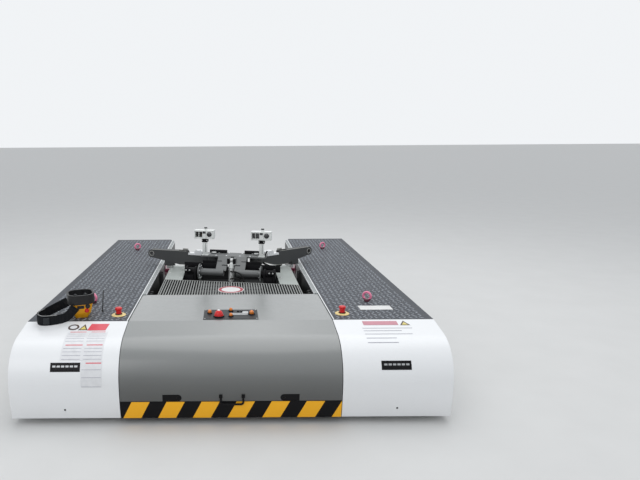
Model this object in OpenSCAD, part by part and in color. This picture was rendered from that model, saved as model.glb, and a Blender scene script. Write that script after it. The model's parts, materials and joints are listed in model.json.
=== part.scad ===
// Low remote-controlled aircraft pushback tractor: two side pods with checker-plate decks,
// a curved nose and hood, and a lifting carriage between the pods that takes the nose gear.
// Millimetres, +Z up, origin on the ground under the middle of the body.
// -Y is the curved nose, +Y is the open bay that the nose gear enters, +X is the side to the
// right of someone who looks at the nose.

/* [Body] */
// Overall width over the pods
body_w = 2600; // [2560:10:2800]
// Overall length, from the tow bail's front to the tail
body_l = 3420; // [3400:10:3600]
// Height of the deck above the ground
deck_z = 526; // [522:1:550]
// Gap between the ground and the lower edge of the skirts
skirt_z = 42; // [36:2:70]
// Width of the bay between the two pods
bay_w = 1254; // [1250:2:1270]
// Thickness of the pod's steel walls
wall_t = 8; // [6:1:10]
// Thickness of the nose and hood sheets, and of the deck plates
sheet_t = 6; // [4:1:8]
// Gap between neighbouring body panels
panel_gap = 4; // [3:1:6]
// Width of the tail corner that is cut off beside the bay
tail_cut_x = 60; // [40:5:90]
// Length of the tail corner that is cut off beside the bay
tail_cut_y = 150; // [120:5:200]

/* [Nose and hood] */
// Radius of the nose curve in side view
nose_r = 235; // [200:5:250]
// Slope of the nose's top where it meets the deck
nose_slope = 10; // [6:1:14]
// Length of the nose from its front to the deck plate
nose_l = 378; // [360:2:420]
// How far the nose's lower edge stands back from its front
nose_tuck = 25; // [18:1:35]
// Length of the hood from the nose's front to its rear edge
hood_l = 1000; // [980:5:1020]
// Height of the hazard bar at the hood's foot
bar_h = 110; // [80:2:120]
// How far the hazard bar stands out of the nose curve
bar_out = 2; // [1:0.5:3]
// Pitch of the hazard bar's stripes
stripe_pitch = 206; // [180:2:230]
// Width of a head lamp
lamp_w = 175; // [150:5:200]
// Distance from the centre line to the middle of a head lamp
lamp_x = 968; // [940:2:1000]
// Lower edge of the head lamps above the ground
lamp_z = 338; // [330:2:360]
// Height of a head lamp
lamp_h = 48; // [44:2:70]

/* [Fittings] */
// Width of the control panel on the hood
panel_w = 356; // [320:4:380]
// Length of the control panel on the hood
panel_l = 206; // [196:2:230]
// Distance from the nose's front to the control panel
panel_y = 399; // [390:2:430]
// Width of the pale rail along the bay
rail_w = 37; // [34:1:50]
// How far the rail stands over the deck
rail_up = 4; // [2:1:6]
// Radius of a lifting ring to the middle of its bar
ring_r = 28; // [24:1:34]
// Radius of a lifting ring's bar
ring_bar = 8; // [6:0.5:10]
// Radius of an emergency stop's yellow collar
stop_r = 47; // [42:1:54]
// Distance from the rail to the middle of an emergency stop
stop_off = 76; // [60:1:110]
// Distance from the nose's front to the emergency stops
stop_y = 508; // [490:2:560]
// Height of the radio antenna
antenna_h = 150; // [120:5:180]
// Inside width of the tow bail's bar
bail_w = 120; // [100:2:140]
// Radius of the tow bail's bar
bail_r = 6; // [5:0.5:7]

/* [Wheels] */
// Radius of a drive wheel
drive_r = 225; // [215:1:232]
// Width of a drive tyre
drive_w = 170; // [150:2:180]
// Distance from the tail to the drive axle
drive_set = 950; // [930:5:970]
// Distance from the centre line to the middle of the wheels
track_x = 980; // [970:2:990]
// Radius of a castor wheel
castor_r = 130; // [125:1:134]
// Width of one castor tyre
castor_w = 62; // [55:1:66]
// Distance from the nose's front to the castors' swivels
castor_set = 610; // [604:1:616]
// Trail of the castor's axle behind its swivel
castor_trail = 68; // [60:1:75]

/* [Carriage] */
// Gap between the carriage and the pods' walls
side_gap = 79; // [75:1:85]
// Thickness of the carriage's side plates
side_t = 16; // [12:1:20]
// Thickness of the grating and covers on the carriage
cover_t = 12; // [10:1:14]
// Distance from the grating's front edge to its rear edge, on the centre line
grating_l = 400; // [380:5:410]
// Slant of the grating's rear edge
grating_slant = 11; // [4:1:12]
// Pitch of the grating's bars
bar_pitch = 20; // [18:1:32]
// Width of one grating bar
bar_w = 8; // [7:1:14]
// Width of the well that the yoke stands in
well_w = 800; // [790:2:820]
// Length of the high front part of the carriage
high_l = 1034; // [1020:2:1044]
// Gap under the wheel tray with the carriage down
tray_z = 30; // [24:1:40]
// Distance from the edge of the wheel tray's ramp to the tail
tail_gap = 60; // [50:5:90]
// Lift of the carriage
lift = 120; // [100:5:130]

/* [Yoke] */
// Turn of the yoke on its swivel as it stands
yoke_turn = -12; // [-12:1:8]
// Distance from the carriage's front to the yoke's swivel
yoke_set = 591; // [585:1:600]
// Height of the tilt hinge above the ground
hinge_z = 552; // [548:1:558]
// Radius of the yoke's cross tubes
tube_r = 30; // [26:1:33]
// Radius of the tilt hinge's pins
hinge_pin_r = 15; // [12:1:18]
// Distance from the yoke's middle to an arm's pin
arm_x = 190; // [186:1:196]
// Distance from the tilt hinge back to the arm pins
arm_v = 210; // [206:1:216]
// Length of an arm from its pin to its eye
arm_l = 605; // [580:5:620]
// Thickness of an arm
arm_t = 56; // [50:1:60]
// Radius of the eye's hole at an arm's tip
eye_r = 16; // [12:1:18]
// Angle of the left arm from straight out, as it stands
arm_left_turn = 8; // [0:1:90]
// Angle of the right arm from straight out, as it stands
arm_right_turn = 48; // [0:1:90]
// Height of a sensor post
post_h = 148; // [120:2:170]

/* [Hidden] */
$fn = 64;
seat = 0.3;
fit = 0.08;
bail_out = 10.5;
nose_y = -body_l / 2 + bail_out;
tail_y = body_l / 2;
bay_x = bay_w / 2;
pod_x = body_w / 2;
deck_y = nose_y + nose_l;
hood_y = nose_y + hood_l;
plate_z = deck_z - sheet_t;
hood_x = bay_x + rail_w * 2 / 3;
rail_x = bay_x + rail_w;
stop_x = rail_x + stop_off;
nose_zc = deck_z - nose_r * cos(nose_slope)
    - (nose_l - nose_r + nose_r * sin(nose_slope)) * tan(nose_slope);
low_r = (pow(nose_tuck, 2) + pow(nose_zc - skirt_z, 2)) / (2 * nose_tuck);
bar_top = skirt_z + bar_h;
floor_t = 12;
floor_y = nose_y + 32;
wall_y = hood_y - 43;
panel_x = 2;
bay_floor_y = hood_y + 260;
battery_y = [nose_y + 220, hood_y - 180];
battery_h = 356;
drive_y = tail_y - drive_set;
castor_y = nose_y + castor_set;
drive_well = [drive_y - 280, drive_y + 280];
castor_well = [deck_y + wall_t, castor_y + 230];
well_roof_z = 316;
carriage_x = bay_x - side_gap;
carriage_y = hood_y + 6;
carriage_top = plate_z;
cover_z = carriage_top - cover_t;
high_y = carriage_y + high_l;
guide_y = [hood_y + 200, high_y - 140];
guide_w = 20;
guide_slide = 7;
lift_x = carriage_x - 128;
lift_y = hood_y + 100;
lift_h = 276;
lift_rod_l = 310;
ramp_l = 130;
tray_t = 16;
tray_y = tail_y - tail_gap - ramp_l;
shelf_z = 440;
shelf_t = 12;
table_z = 388;
base_z = 400;
base_t = 12;
base_x = 400;
yoke_y = carriage_y + yoke_set;
bracket_x = [290, 370];
bracket_t = 16;
bracket_r = 45;
flange_r = 68;
bar_v = [110, 270];
bar_z = 660;
bar_t = 12;
bar_x = 285;
stem_x = 126;
slot_x = 36;
foot_v = 36;
foot_z = 446;
eye_v = 70;
eye_z = 646;
ram_l = norm([eye_v - foot_v, eye_z - foot_z]);
ram_lean = atan2(eye_v - foot_v, eye_z - foot_z);
ram_pin_r = 9;
barrel_r = 25;
barrel_l = 130;
knuckle_r = 58;
knuckle = [603, 650];
ear_t = 8;
tip_r = 38;
tip_z = 640;
post_u = 250;
post_v = 134;
head_x = 86;
hose_r = 6;
remote_at = [-982, nose_y + 488];
remote_turn = 20;
remote_h = 114;
guard_w = 172;
belt_w = 60;
belt_t = 5;

// A block given by its span along each axis
module block(x, y, z)
    translate([x[0], y[0], z[0]]) cube([x[1] - x[0], y[1] - y[0], z[1] - z[0]]);

// The children and their mirror image in the machine's middle plane
module both() {
    children();
    mirror([1, 0, 0]) children();
}

// A side view, drawn as Y and Z, extruded from x0 to x1
module along_x(x0, x1)
    translate([x0, 0, 0]) rotate([90, 0, 90]) linear_extrude(x1 - x0) children();

// A cylinder along X from x0 to x1
module rod_x(r, x0, x1)
    translate([x0, 0, 0]) rotate([0, 90, 0]) cylinder(r = r, h = x1 - x0);

// Side view of the nose and a flat top behind it, moved in by an inset
module nose_area(inset, flat = 0) {
    over = inset > 0 ? 1 : 0;
    r = nose_r - inset;
    translate([nose_y, 0]) {
        polygon([
            [nose_r, skirt_z - over],
            [nose_l + flat + over, skirt_z - over],
            [nose_l + flat + over, deck_z - inset],
            [nose_l + inset * tan(nose_slope / 2), deck_z - inset],
            [nose_r - r * sin(nose_slope), nose_zc + r * cos(nose_slope)],
            [nose_r, nose_zc],
        ]);
        intersection() {
            translate([nose_r, nose_zc]) circle(r, $fn = 180);
            translate([-10, nose_zc]) square([nose_r + 10, nose_r + 10]);
        }
        intersection() {
            translate([low_r, nose_zc]) circle(low_r - inset, $fn = 720);
            translate([-10, skirt_z - over]) square([nose_r + 10, nose_zc - skirt_z + over]);
        }
    }
}

// The curved band of the nose between two insets, from x0 to x1
module nose_band(x0, x1, outer, inner)
    along_x(x0, x1) difference() {
        nose_area(outer);
        nose_area(inner);
    }

// Plan of the right pod, moved in by an inset
module pod_plan(inset) {
    slant = norm([tail_cut_x, tail_cut_y]);
    polygon([
        [bay_x + inset, deck_y + inset],
        [pod_x - inset, deck_y + inset],
        [pod_x - inset, tail_y - inset],
        [bay_x + (inset * slant + (tail_cut_y - inset) * tail_cut_x) / tail_cut_y, tail_y - inset],
        [bay_x + inset, tail_y - tail_cut_y - inset * (slant - tail_cut_y) / tail_cut_x],
    ]);
}

// Housing of the right pod: walls, bulkheads, floors and the castor's roof
module pod() {
    inner = [bay_x + wall_t, pod_x - wall_t];
    floors = [[castor_well[1], drive_well[0]], [drive_well[1] - wall_t, tail_y]];
    color("lightgray") {
        translate([0, 0, skirt_z]) linear_extrude(plate_z - skirt_z) difference() {
            pod_plan(0);
            pod_plan(wall_t);
        }
        for (y = [castor_well[1], drive_well[0], drive_well[1] - wall_t])
            block(inner, [y, y + wall_t], [skirt_z, plate_z]);
        translate([0, 0, skirt_z]) linear_extrude(wall_t) intersection() {
            pod_plan(0);
            union() {
                for (span = floors)
                    translate([bay_x, span[0]]) square([pod_x - bay_x, span[1] - span[0]]);
            }
        }
        difference() {
            block(inner, castor_well, [well_roof_z, well_roof_z + floor_t]);
            translate([track_x, castor_y, well_roof_z - 1]) cylinder(r = 25 + fit, h = floor_t + 2);
        }
    }
}
module pod_left() mirror([1, 0, 0]) pod();
module pod_right() pod();

// White nose panel of the right pod, with its side cheek and the lamp's opening
module nose() {
    inner_x = hood_x + panel_gap;
    color("white") difference() {
        union() {
            nose_band(inner_x, pod_x, 0, sheet_t);
            along_x(pod_x - sheet_t, pod_x) nose_area(0);
            block([inner_x, pod_x], [nose_y + 40, deck_y], [skirt_z, skirt_z + sheet_t]);
            block([inner_x, pod_x], [nose_y + nose_tuck + 3, nose_y + 41], [skirt_z, skirt_z + sheet_t]);
        }
        lamp_space(0);
    }
}
module nose_left() mirror([1, 0, 0]) nose();
module nose_right() nose();

module lamp_space(gap)
    block([lamp_x - lamp_w / 2 + gap, lamp_x + lamp_w / 2 - gap], [nose_y - 10, nose_y + 120],
        [lamp_z + gap, lamp_z + lamp_h - gap]);

// Head lamps that follow the nose's curve, each with its lens sunk in a rim
module head_lamps() {
    rim = 9;
    color("black") both() difference() {
        intersection() {
            nose_band(lamp_x - lamp_w, lamp_x + lamp_w, -1, 24);
            lamp_space(seat);
        }
        intersection() {
            nose_band(lamp_x - lamp_w, lamp_x + lamp_w, -3, 4);
            lamp_space(rim);
        }
    }
}

// Checker-plate deck of the right pod
module deck() {
    color("dimgray") translate([0, 0, plate_z]) linear_extrude(sheet_t) intersection() {
        pod_plan(0);
        translate([rail_x, deck_y]) square([pod_x - rail_x, tail_y - deck_y]);
    }
}
module deck_left() mirror([1, 0, 0]) deck();
module deck_right() deck();

// Pale rails that cap the pods' walls along the bay
module rails()
    color("gainsboro") both() translate([0, 0, plate_z])
        linear_extrude(sheet_t + rail_up) intersection() {
            pod_plan(0);
            union() {
                translate([hood_x + panel_gap, deck_y])
                    square([rail_x - hood_x - panel_gap, tail_y - deck_y]);
                translate([bay_x, hood_y + panel_gap])
                    square([rail_w, tail_y - hood_y]);
            }
        }

// Floor, ribs and rear wall that join the pods under the hood
module chassis_frame() {
    rib_t = 12;
    rib_x = bay_x - 127;
    color("dimgray") {
        block([-bay_x, bay_x], [floor_y, bay_floor_y], [skirt_z, skirt_z + floor_t]);
        block([-bay_x, bay_x], [wall_y, wall_y + rib_t], [skirt_z + floor_t, plate_z - seat]);
        both() for (x = [rib_x, bay_x - rib_t]) {
            along_x(x, x + rib_t) difference() {
                nose_area(sheet_t + seat);
                translate([nose_y - 20, skirt_z - 2]) square([nose_l + 30, floor_t + 2]);
            }
            block([x, x + rib_t], [deck_y, wall_y], [skirt_z + floor_t, plate_z - seat]);
        }
    }
}

// Grey hood, one sheet from above the hazard bar to the bay
module hood()
    color("gray") {
        difference() {
            along_x(-hood_x, hood_x) difference() {
                nose_area(0, hood_l - nose_l);
                nose_area(sheet_t, hood_l - nose_l);
            }
            block([-pod_x, pod_x], [nose_y - 20, nose_y + 100], [0, bar_top + 2]);
        }
        block([-bay_x + wall_t, bay_x - wall_t], [hood_y - sheet_t, hood_y],
            [plate_z - 20, plate_z + 1]);
    }

module bar_band(outer, inner)
    intersection() {
        nose_band(-hood_x, hood_x, outer, inner);
        block([-hood_x, hood_x], [nose_y - 20, nose_y + 100], [skirt_z, bar_top]);
    }

// Black bar at the foot of the hood
module hazard_bar()
    color("black") bar_band(-bar_out, sheet_t);

// Slanted yellow stripes laid on the bar
module hazard_stripes() {
    stripe_w = stripe_pitch * 0.52;
    shift = bar_h * 0.5;
    first_x = 12 - hood_x;
    color("orange") intersection() {
        bar_band(-bar_out - 1, -bar_out);
        union() {
            for (i = [0 : 6])
                translate([first_x + i * stripe_pitch, nose_y + 50, skirt_z]) rotate([90, 0, 0])
                    linear_extrude(80) polygon([[0, 0], [stripe_w, 0],
                        [stripe_w + shift, bar_h], [shift, bar_h]]);
        }
    }
}

// Dark plate on the hood that carries the controls
module control_panel()
    color("#3a3f45") block([panel_x - panel_w / 2, panel_x + panel_w / 2],
        [nose_y + panel_y, nose_y + panel_y + panel_l], [deck_z, deck_z + 3]);

// Amber domes on the control panel: x, distance from the panel's front, radius
module amber_lamps()
    color("darkorange") for (lamp = [[-138, 125, 13], [3, 55, 12], [3, 172, 12], [140, 100, 14]])
        translate([lamp[0], nose_y + panel_y + lamp[1], deck_z + 3]) {
            cylinder(r = lamp[2] - 1, h = lamp[2]);
            translate([0, 0, lamp[2]]) sphere(r = lamp[2]);
        }

// Red beacon on the control panel
module red_beacon()
    color("red") translate([-76, nose_y + panel_y + 60, deck_z + 3]) {
        foot_h = 8;
        dome_r = 29;
        dome_h = 36;
        cylinder(r = dome_r + 2, h = foot_h);
        translate([0, 0, foot_h - 1]) rotate_extrude() intersection() {
            scale([1, dome_h / dome_r]) circle(dome_r);
            square([dome_r, dome_h]);
        }
    }

module at_stops()
    both() translate([stop_x, nose_y + stop_y, deck_z]) children();

module stop_collars()
    color("gold") at_stops() rotate_extrude($fn = 96)
        polygon([[0, 0], [stop_r, 0], [stop_r, 3], [stop_r - 5, 6], [0, 6]]);

module stop_buttons()
    color("red") at_stops() translate([0, 0, 6]) rotate_extrude($fn = 96)
        polygon([[0, 0], [18, 0], [18, 30], [23, 33], [23.5, 40], [20, 46], [12, 49], [0, 50]]);

// A ring that stands on a block, its bar's middle at radius r, turned about the vertical
module ring(r, bar, turn)
    rotate([90, 0, turn]) rotate_extrude($fn = 48) translate([r, 0]) circle(bar, $fn = 24);

// Swivel rings for lifting the machine: four on the decks, two on the walls of the bay
module lifting_rings() {
    deck_ring_x = track_x - 7;
    wall_ring_r = 46;
    wall_bar = 9;
    wall_ring_at = [bay_x - 34, tail_y - 1140, 424];
    color("hotpink") {
        for (side = [-1, 1], place = [[nose_y + 800, -36], [tail_y - 630, 24]])
            translate([side * deck_ring_x, place[0], deck_z]) {
                cylinder(r = 20, h = 14);
                translate([0, 0, 10 + ring_r]) ring(ring_r, ring_bar, place[1]);
            }
        both() {
            translate([wall_ring_at[0], wall_ring_at[1], wall_ring_at[2] - wall_ring_r])
                ring(wall_ring_r, wall_bar, 58);
            block([wall_ring_at[0] - 10, bay_x], [wall_ring_at[1] - 14, wall_ring_at[1] + 14],
                [wall_ring_at[2] - 12, wall_ring_at[2] + 14]);
            block([bay_x - 8, bay_x], [wall_ring_at[1] - 60, wall_ring_at[1] + 60],
                [wall_ring_at[2] - 30, wall_ring_at[2] + 50]);
        }
    }
}

// Thin radio antenna on the left deck, leaning a little to the right
module antenna()
    color("black") translate([-864, nose_y + 584, deck_z]) {
        lean = 4.5;
        cylinder(r = 6, h = 12);
        translate([0, 0, 5]) rotate([0, lean, 0]) cylinder(r = 3, h = antenna_h - 5);
    }

// Two latch plates on the hood's front, each with a hole near its round inner end
module hood_latches() {
    latch_x = 290;
    latch_z = bar_top + 24;
    latch_w = 112;
    latch_h = 42;
    color("black") both() difference() {
        intersection() {
            nose_band(latch_x, latch_x + latch_w, -1, 0);
            translate([latch_x, nose_y + 60, latch_z]) rotate([90, 0, 0]) linear_extrude(90) union() {
                translate([latch_h / 2, 0]) circle(latch_h / 2);
                translate([latch_h / 2, -latch_h / 2]) square([latch_w - latch_h / 2, latch_h]);
            }
        }
        translate([latch_x + latch_h / 2, nose_y + 60, latch_z]) rotate([90, 0, 0])
            cylinder(r = 9, h = 90);
    }
}

// Round-bar bail at the middle of the hood's front, held by a lug at the top of each leg
module tow_bail() {
    leg_x = bail_w / 2 + bail_r;
    bend_r = 14;
    bow_z = bar_top;
    leg_h = 38;
    lug_y = bail_out - bail_r + 1.9;
    color("black") translate([6, nose_y - bail_out + bail_r, bow_z]) {
        both() {
            translate([leg_x, 0, 0]) cylinder(r = bail_r, h = leg_h);
            translate([leg_x - bend_r, 0, 0]) rotate([-90, 0, 0])
                rotate_extrude(angle = 90, $fn = 48) translate([bend_r, 0]) circle(bail_r, $fn = 24);
            block([leg_x - 10, leg_x + 10], [-2, lug_y], [leg_h - 12, leg_h + 6]);
        }
        translate([0, 0, -bend_r]) rod_x(bail_r, bend_r - leg_x, leg_x - bend_r);
    }
}

// Traction battery in its tray, closed in under the hood
module battery()
    color("slategray") block([177 - bay_x, bay_x - 177], battery_y,
        [skirt_z + floor_t, skirt_z + floor_t + battery_h]);

// Lift cylinders' barrels on the chassis floor
module lift_barrels()
    color("dimgray") both() translate([lift_x, lift_y, skirt_z + floor_t]) difference() {
        cylinder(r = 40, h = lift_h);
        translate([0, 0, 30]) cylinder(r = 22 + fit, h = lift_h);
    }

// Upright guide channels on the pods' inner walls
module lift_guides()
    color("dimgray") both() for (y = guide_y)
        for (side = [-1, 1])
            translate([bay_x - guide_w, y + side * 30 - 7, 110]) cube([guide_w, 14, 380]);

// Hub motors and shafts of the drive wheels
module drive_motors()
    color("dimgray") both() translate([0, drive_y, drive_r]) {
        rod_x(105, bay_x + wall_t, track_x - drive_w / 2 - 20);
        rod_x(30 - fit, track_x - drive_w / 2 - 21, track_x + 20 - seat);
    }

// Plan of a square with round corners
module soft_square(w, r) {
    square([w, w - 2 * r], center = true);
    square([w - 2 * r, w], center = true);
    for (x = [r - w / 2, w / 2 - r], y = [r - w / 2, w / 2 - r])
        translate([x, y]) circle(r);
}

// Yellow radio remote, narrow at its foot, in a padded guard ring, put down on the left deck
module remote_control()
    translate([remote_at[0], remote_at[1], deck_z]) rotate([0, 0, remote_turn]) {
        color("gold") hull() for (slab = [[78, 0.5, 14], [118, 36, 22], [150, remote_h, 30]])
            translate([0, 0, slab[1] - 0.5]) linear_extrude(1) soft_square(slab[0], slab[2], $fn = 32);
        color("black") {
            translate([0, 0, remote_h - 14]) linear_extrude(62) difference() {
                soft_square(guard_w, 62);
                soft_square(guard_w - 24, 50);
            }
            for (turn = [0 : 90 : 270])
                rotate([0, 0, turn]) block([60, guard_w / 2 - 8], [-12, 12], [remote_h - 14, remote_h - 4]);
            for (x = [-32, 32])
                translate([x, 8, remote_h - 1]) cylinder(r = 6, h = 26);
        }
    }

// A route's points joined by smooth curves, each span cut into n steps
function spline(p, n) = [
    for (i = [0 : len(p) - 2], k = [0 : n - 1])
        let (a = p[max(i - 1, 0)], b = p[i], c = p[i + 1], d = p[min(i + 2, len(p) - 1)], t = k / n)
            0.5 * (2 * b + (c - a) * t + (2 * a - 5 * b + 4 * c - d) * t * t
                + (3 * b - a - 3 * c + d) * t * t * t),
    p[len(p) - 1],
];
function heading(p, i) = let (d = p[min(i + 1, len(p) - 1)] - p[max(i - 1, 0)]) d / norm(d);

// A profile swept along a route; its first axis stays level and its second leans with the route
module sweep(path, profile) {
    n = len(profile);
    last = (len(path) - 1) * n;
    rings = [
        for (i = [0 : len(path) - 1])
            let (d = heading(path, i), s = cross(d, [0, 0, 1]), a = s / norm(s), b = cross(a, d))
                for (q = profile) path[i] + a * q[0] + b * q[1],
    ];
    faces = [
        for (j = [1 : n - 2]) [0, j + 1, j],
        for (i = [0 : n : last - n], j = [0 : n - 1]) [i + j, i + (j + 1) % n, i + n + j],
        for (i = [0 : n : last - n], j = [0 : n - 1]) [i + n + j, i + (j + 1) % n, i + n + (j + 1) % n],
        for (j = [1 : n - 2]) [last, last + j, last + j + 1],
    ];
    polyhedron(rings, faces, convexity = 6);
}
module hose(route, r) sweep(spline(route, 3), [for (i = [0 : 7]) r * [cos(45 * i), sin(45 * i)]]);

// The remote's carrying belt: from the guard's left side round over the deck and back to its front
module remote_belt() {
    half = belt_w / 2;
    low = half + seat;
    route = [
        [-94, 25, 92], [-128, 36, 74], [-180, 22, 50], [-226, -20, low + 3],
        [-250, -80, low], [-244, -138, low], [-214, -184, low], [-168, -193, low],
        [-110, -166, low], [-62, -130, low + 5], [-30, -104, 66], [-11, -97, 90],
    ];
    color("black") translate([remote_at[0], remote_at[1], deck_z])
        sweep(spline(route, 2), [[belt_t / 2, -half], [belt_t / 2, half],
            [-belt_t / 2, half], [-belt_t / 2, -half]]);
}

// Tyre with rounded shoulders, its axle along X through the origin
module tyre(r, w, hole)
    rotate([0, 90, 0]) rotate_extrude($fn = 96) {
        shoulder = w * 0.14;
        translate([hole, -w / 2 + shoulder]) square([r - hole, w - 2 * shoulder]);
        translate([hole, -w / 2]) square([r - hole - shoulder, w]);
        for (side = [-1, 1])
            translate([r - shoulder, side * (w / 2 - shoulder)]) circle(shoulder, $fn = 32);
    }

module at_drive() translate([track_x, drive_y, drive_r]) children();

module drive_tyre() color("#222222") at_drive() tyre(drive_r, drive_w, drive_r * 0.64);
module drive_tyre_left() mirror([1, 0, 0]) drive_tyre();
module drive_tyre_right() drive_tyre();

// Drive wheel's dished rim with its hub, open towards the motor
module drive_rim() {
    rim_r = drive_r * 0.64;
    half = drive_w / 2 - 6;
    color("silver") at_drive() difference() {
        union() {
            difference() {
                rod_x(rim_r, -half, half);
                rod_x(rim_r - 12, -half - 1, half + 1);
            }
            rod_x(rim_r - 11, 6, 22);
            rod_x(55, -30, 40);
        }
        rod_x(30, -31, 20);
        for (i = [0 : 5])
            rotate([60 * i, 0, 0]) translate([0, 90, 0]) rod_x(18, 5, 23);
    }
}
module drive_rim_left() mirror([1, 0, 0]) drive_rim();
module drive_rim_right() drive_rim();

// Castor fork: swivel head, central leg and axle
module castor_fork() {
    head_z = 286;
    color("gray") translate([track_x, castor_y, 0]) {
        translate([0, 0, head_z]) cylinder(r = 75, h = well_roof_z - seat - head_z);
        translate([0, 0, head_z]) cylinder(r = 25, h = well_roof_z - head_z + floor_t + 6);
        along_x(-18, 18) {
            polygon([[-40, head_z + 4], [66, head_z + 4],
                [castor_trail + 30, castor_r], [castor_trail - 30, castor_r]]);
            translate([castor_trail, castor_r]) circle(30);
        }
        translate([0, castor_trail, castor_r]) rod_x(14, -88, 88);
    }
}
module castor_fork_left() mirror([1, 0, 0]) castor_fork();
module castor_fork_right() castor_fork();

// Pair of castor wheels, one on each side of the leg
module castor_wheels()
    color("#222222") translate([track_x, castor_y + castor_trail, castor_r]) difference() {
        both() translate([24 + castor_w / 2, 0, 0]) {
            tyre(castor_r, castor_w, 60);
            rod_x(61, -castor_w / 2 + 4, castor_w / 2 - 4);
        }
        rod_x(14 + fit, -100, 100);
    }
module castor_wheels_left() mirror([1, 0, 0]) castor_wheels();
module castor_wheels_right() castor_wheels();

// Side plates, cross walls and turntable shelf of the lifting carriage
module carriage_frame() {
    inner_x = carriage_x - side_t;
    color("darkgray") {
        both() along_x(inner_x, carriage_x) polygon([
            [carriage_y, 100], [carriage_y, cover_z], [high_y, cover_z], [high_y + 190, 200],
            [tray_y, 150], [tray_y, tray_z], [high_y - 60, tray_z], [high_y - 180, 100],
        ]);
        block([-inner_x, inner_x], [carriage_y, carriage_y + side_t], [100, cover_z]);
        block([-inner_x, inner_x], [carriage_y + side_t, lift_y + 80], [shelf_z, shelf_z + shelf_t]);
        block([-inner_x, inner_x], [high_y - side_t, high_y], [tray_z, cover_z]);
        difference() {
            block([-inner_x, inner_x], [guide_y[0], high_y - side_t], [table_z - 12, table_z]);
            translate([0, yoke_y, table_z - 20]) cylinder(r = 60 + fit, h = 30);
        }
        both() for (y = guide_y)
            block([carriage_x, bay_x - guide_slide], [y - 18, y + 18], [250, 350]);
    }
}

// Low tray that the nose wheels roll onto, with its entry ramp
module wheel_tray() {
    inner_x = carriage_x - side_t;
    color("dimgray") along_x(-inner_x, inner_x) polygon([
        [high_y, tray_z], [high_y, tray_z + tray_t], [tray_y, tray_z + tray_t],
        [tray_y + ramp_l, tray_z - 14], [tray_y + ramp_l, tray_z - 18], [tray_y, tray_z],
    ]);
}

// Plan of the grating: straight in front, slanted behind
module grating_plan(inset) {
    rear_y = carriage_y + grating_l;
    rise = tan(grating_slant) * (carriage_x - inset);
    polygon([
        [-carriage_x + inset, carriage_y + inset], [carriage_x - inset, carriage_y + inset],
        [carriage_x - inset, rear_y - rise - inset], [-carriage_x + inset, rear_y + rise - inset],
    ]);
}

// Open grating on the carriage's front: bars along Y over cross rods
module tread_grating() {
    gap_w = bar_pitch - bar_w;
    rim_w = 7;
    rod_w = 6;
    count = floor((carriage_x - rim_w) / bar_pitch);
    color("silver") {
        translate([0, 0, cover_z]) difference() {
            linear_extrude(cover_t) grating_plan(0);
            translate([0, 0, -1]) linear_extrude(cover_t + 2) intersection() {
                grating_plan(rim_w);
                union() {
                    for (i = [-count : count])
                        translate([i * bar_pitch - gap_w / 2, carriage_y])
                            square([gap_w, grating_l + 100]);
                }
            }
        }
        translate([0, 0, cover_z]) linear_extrude(cover_t / 3) intersection() {
            grating_plan(0);
            union() {
                for (y = [100 : 100 : grating_l + 60])
                    translate([-carriage_x, carriage_y + y]) square([2 * carriage_x, rod_w]);
            }
        }
    }
}

// Smooth covers beside and behind the yoke's well
module carriage_covers()
    color("silver") translate([0, 0, cover_z]) linear_extrude(cover_t) difference() {
        translate([-carriage_x, carriage_y]) square([2 * carriage_x, high_l]);
        grating_cut();
        translate([-well_w / 2, carriage_y]) square([well_w, high_l + 1]);
    }
module grating_cut() {
    rear_y = carriage_y + grating_l + panel_gap;
    rise = tan(grating_slant) * carriage_x;
    polygon([[-carriage_x - 1, carriage_y - 1], [carriage_x + 1, carriage_y - 1],
        [carriage_x + 1, rear_y - rise], [-carriage_x - 1, rear_y + rise]]);
}

// Rods of the lift cylinders, under the carriage's shelf
module lift_rods()
    color("silver") both() translate([lift_x, lift_y, shelf_z - lift_rod_l])
        cylinder(r = 22, h = lift_rod_l);

// The yoke's frame of reference: u across, v to the rear, turned on the swivel
module turned() translate([0, yoke_y, 0]) rotate([0, 0, yoke_turn]) children();

// Turntable with its stub, base plate and the tilt cylinder's foot
module swivel_base()
    color("#303030") turned() {
        translate([0, 0, table_z + seat]) cylinder(r = 200, h = base_z - table_z - seat);
        translate([0, 0, table_z - 40]) cylinder(r = 60, h = base_z - table_z + 40);
        block([-base_x, base_x], [-200, 200], [base_z, base_z + base_t]);
        both() along_x(14, 24) {
            translate([foot_v, foot_z]) circle(18);
            translate([foot_v - 18, base_z + base_t - 1]) square([36, foot_z - base_z - base_t + 1]);
        }
        translate([0, foot_v, foot_z]) rod_x(ram_pin_r, -24, 24);
    }

// Pairs of cheeks joined by a web, with the hinge pins that the yoke tilts on
module hinge_brackets() {
    cheek = [[-60, base_z + base_t], [60, base_z + base_t], [bracket_r, hinge_z], [-bracket_r, hinge_z]];
    color("#1c1c1c") turned() both() {
        for (x = bracket_x)
            along_x(x, x + bracket_t) {
                translate([0, hinge_z]) circle(bracket_r);
                polygon(cheek);
            }
        block([bracket_x[0] + 1, bracket_x[1] + 1], [-44, -32], [base_z + base_t, hinge_z - 14]);
        block([bracket_x[1] + bracket_t - 8, bracket_x[1] + bracket_t + 4], [-40, 20],
            [hinge_z - 70, hinge_z + 22]);
        translate([0, 0, hinge_z]) {
            rod_x(hinge_pin_r, bracket_x[0] - 50, bracket_x[1] + bracket_t);
            rod_x(34, bracket_x[0] - 14, bracket_x[1] + 1);
        }
    }
}

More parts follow.
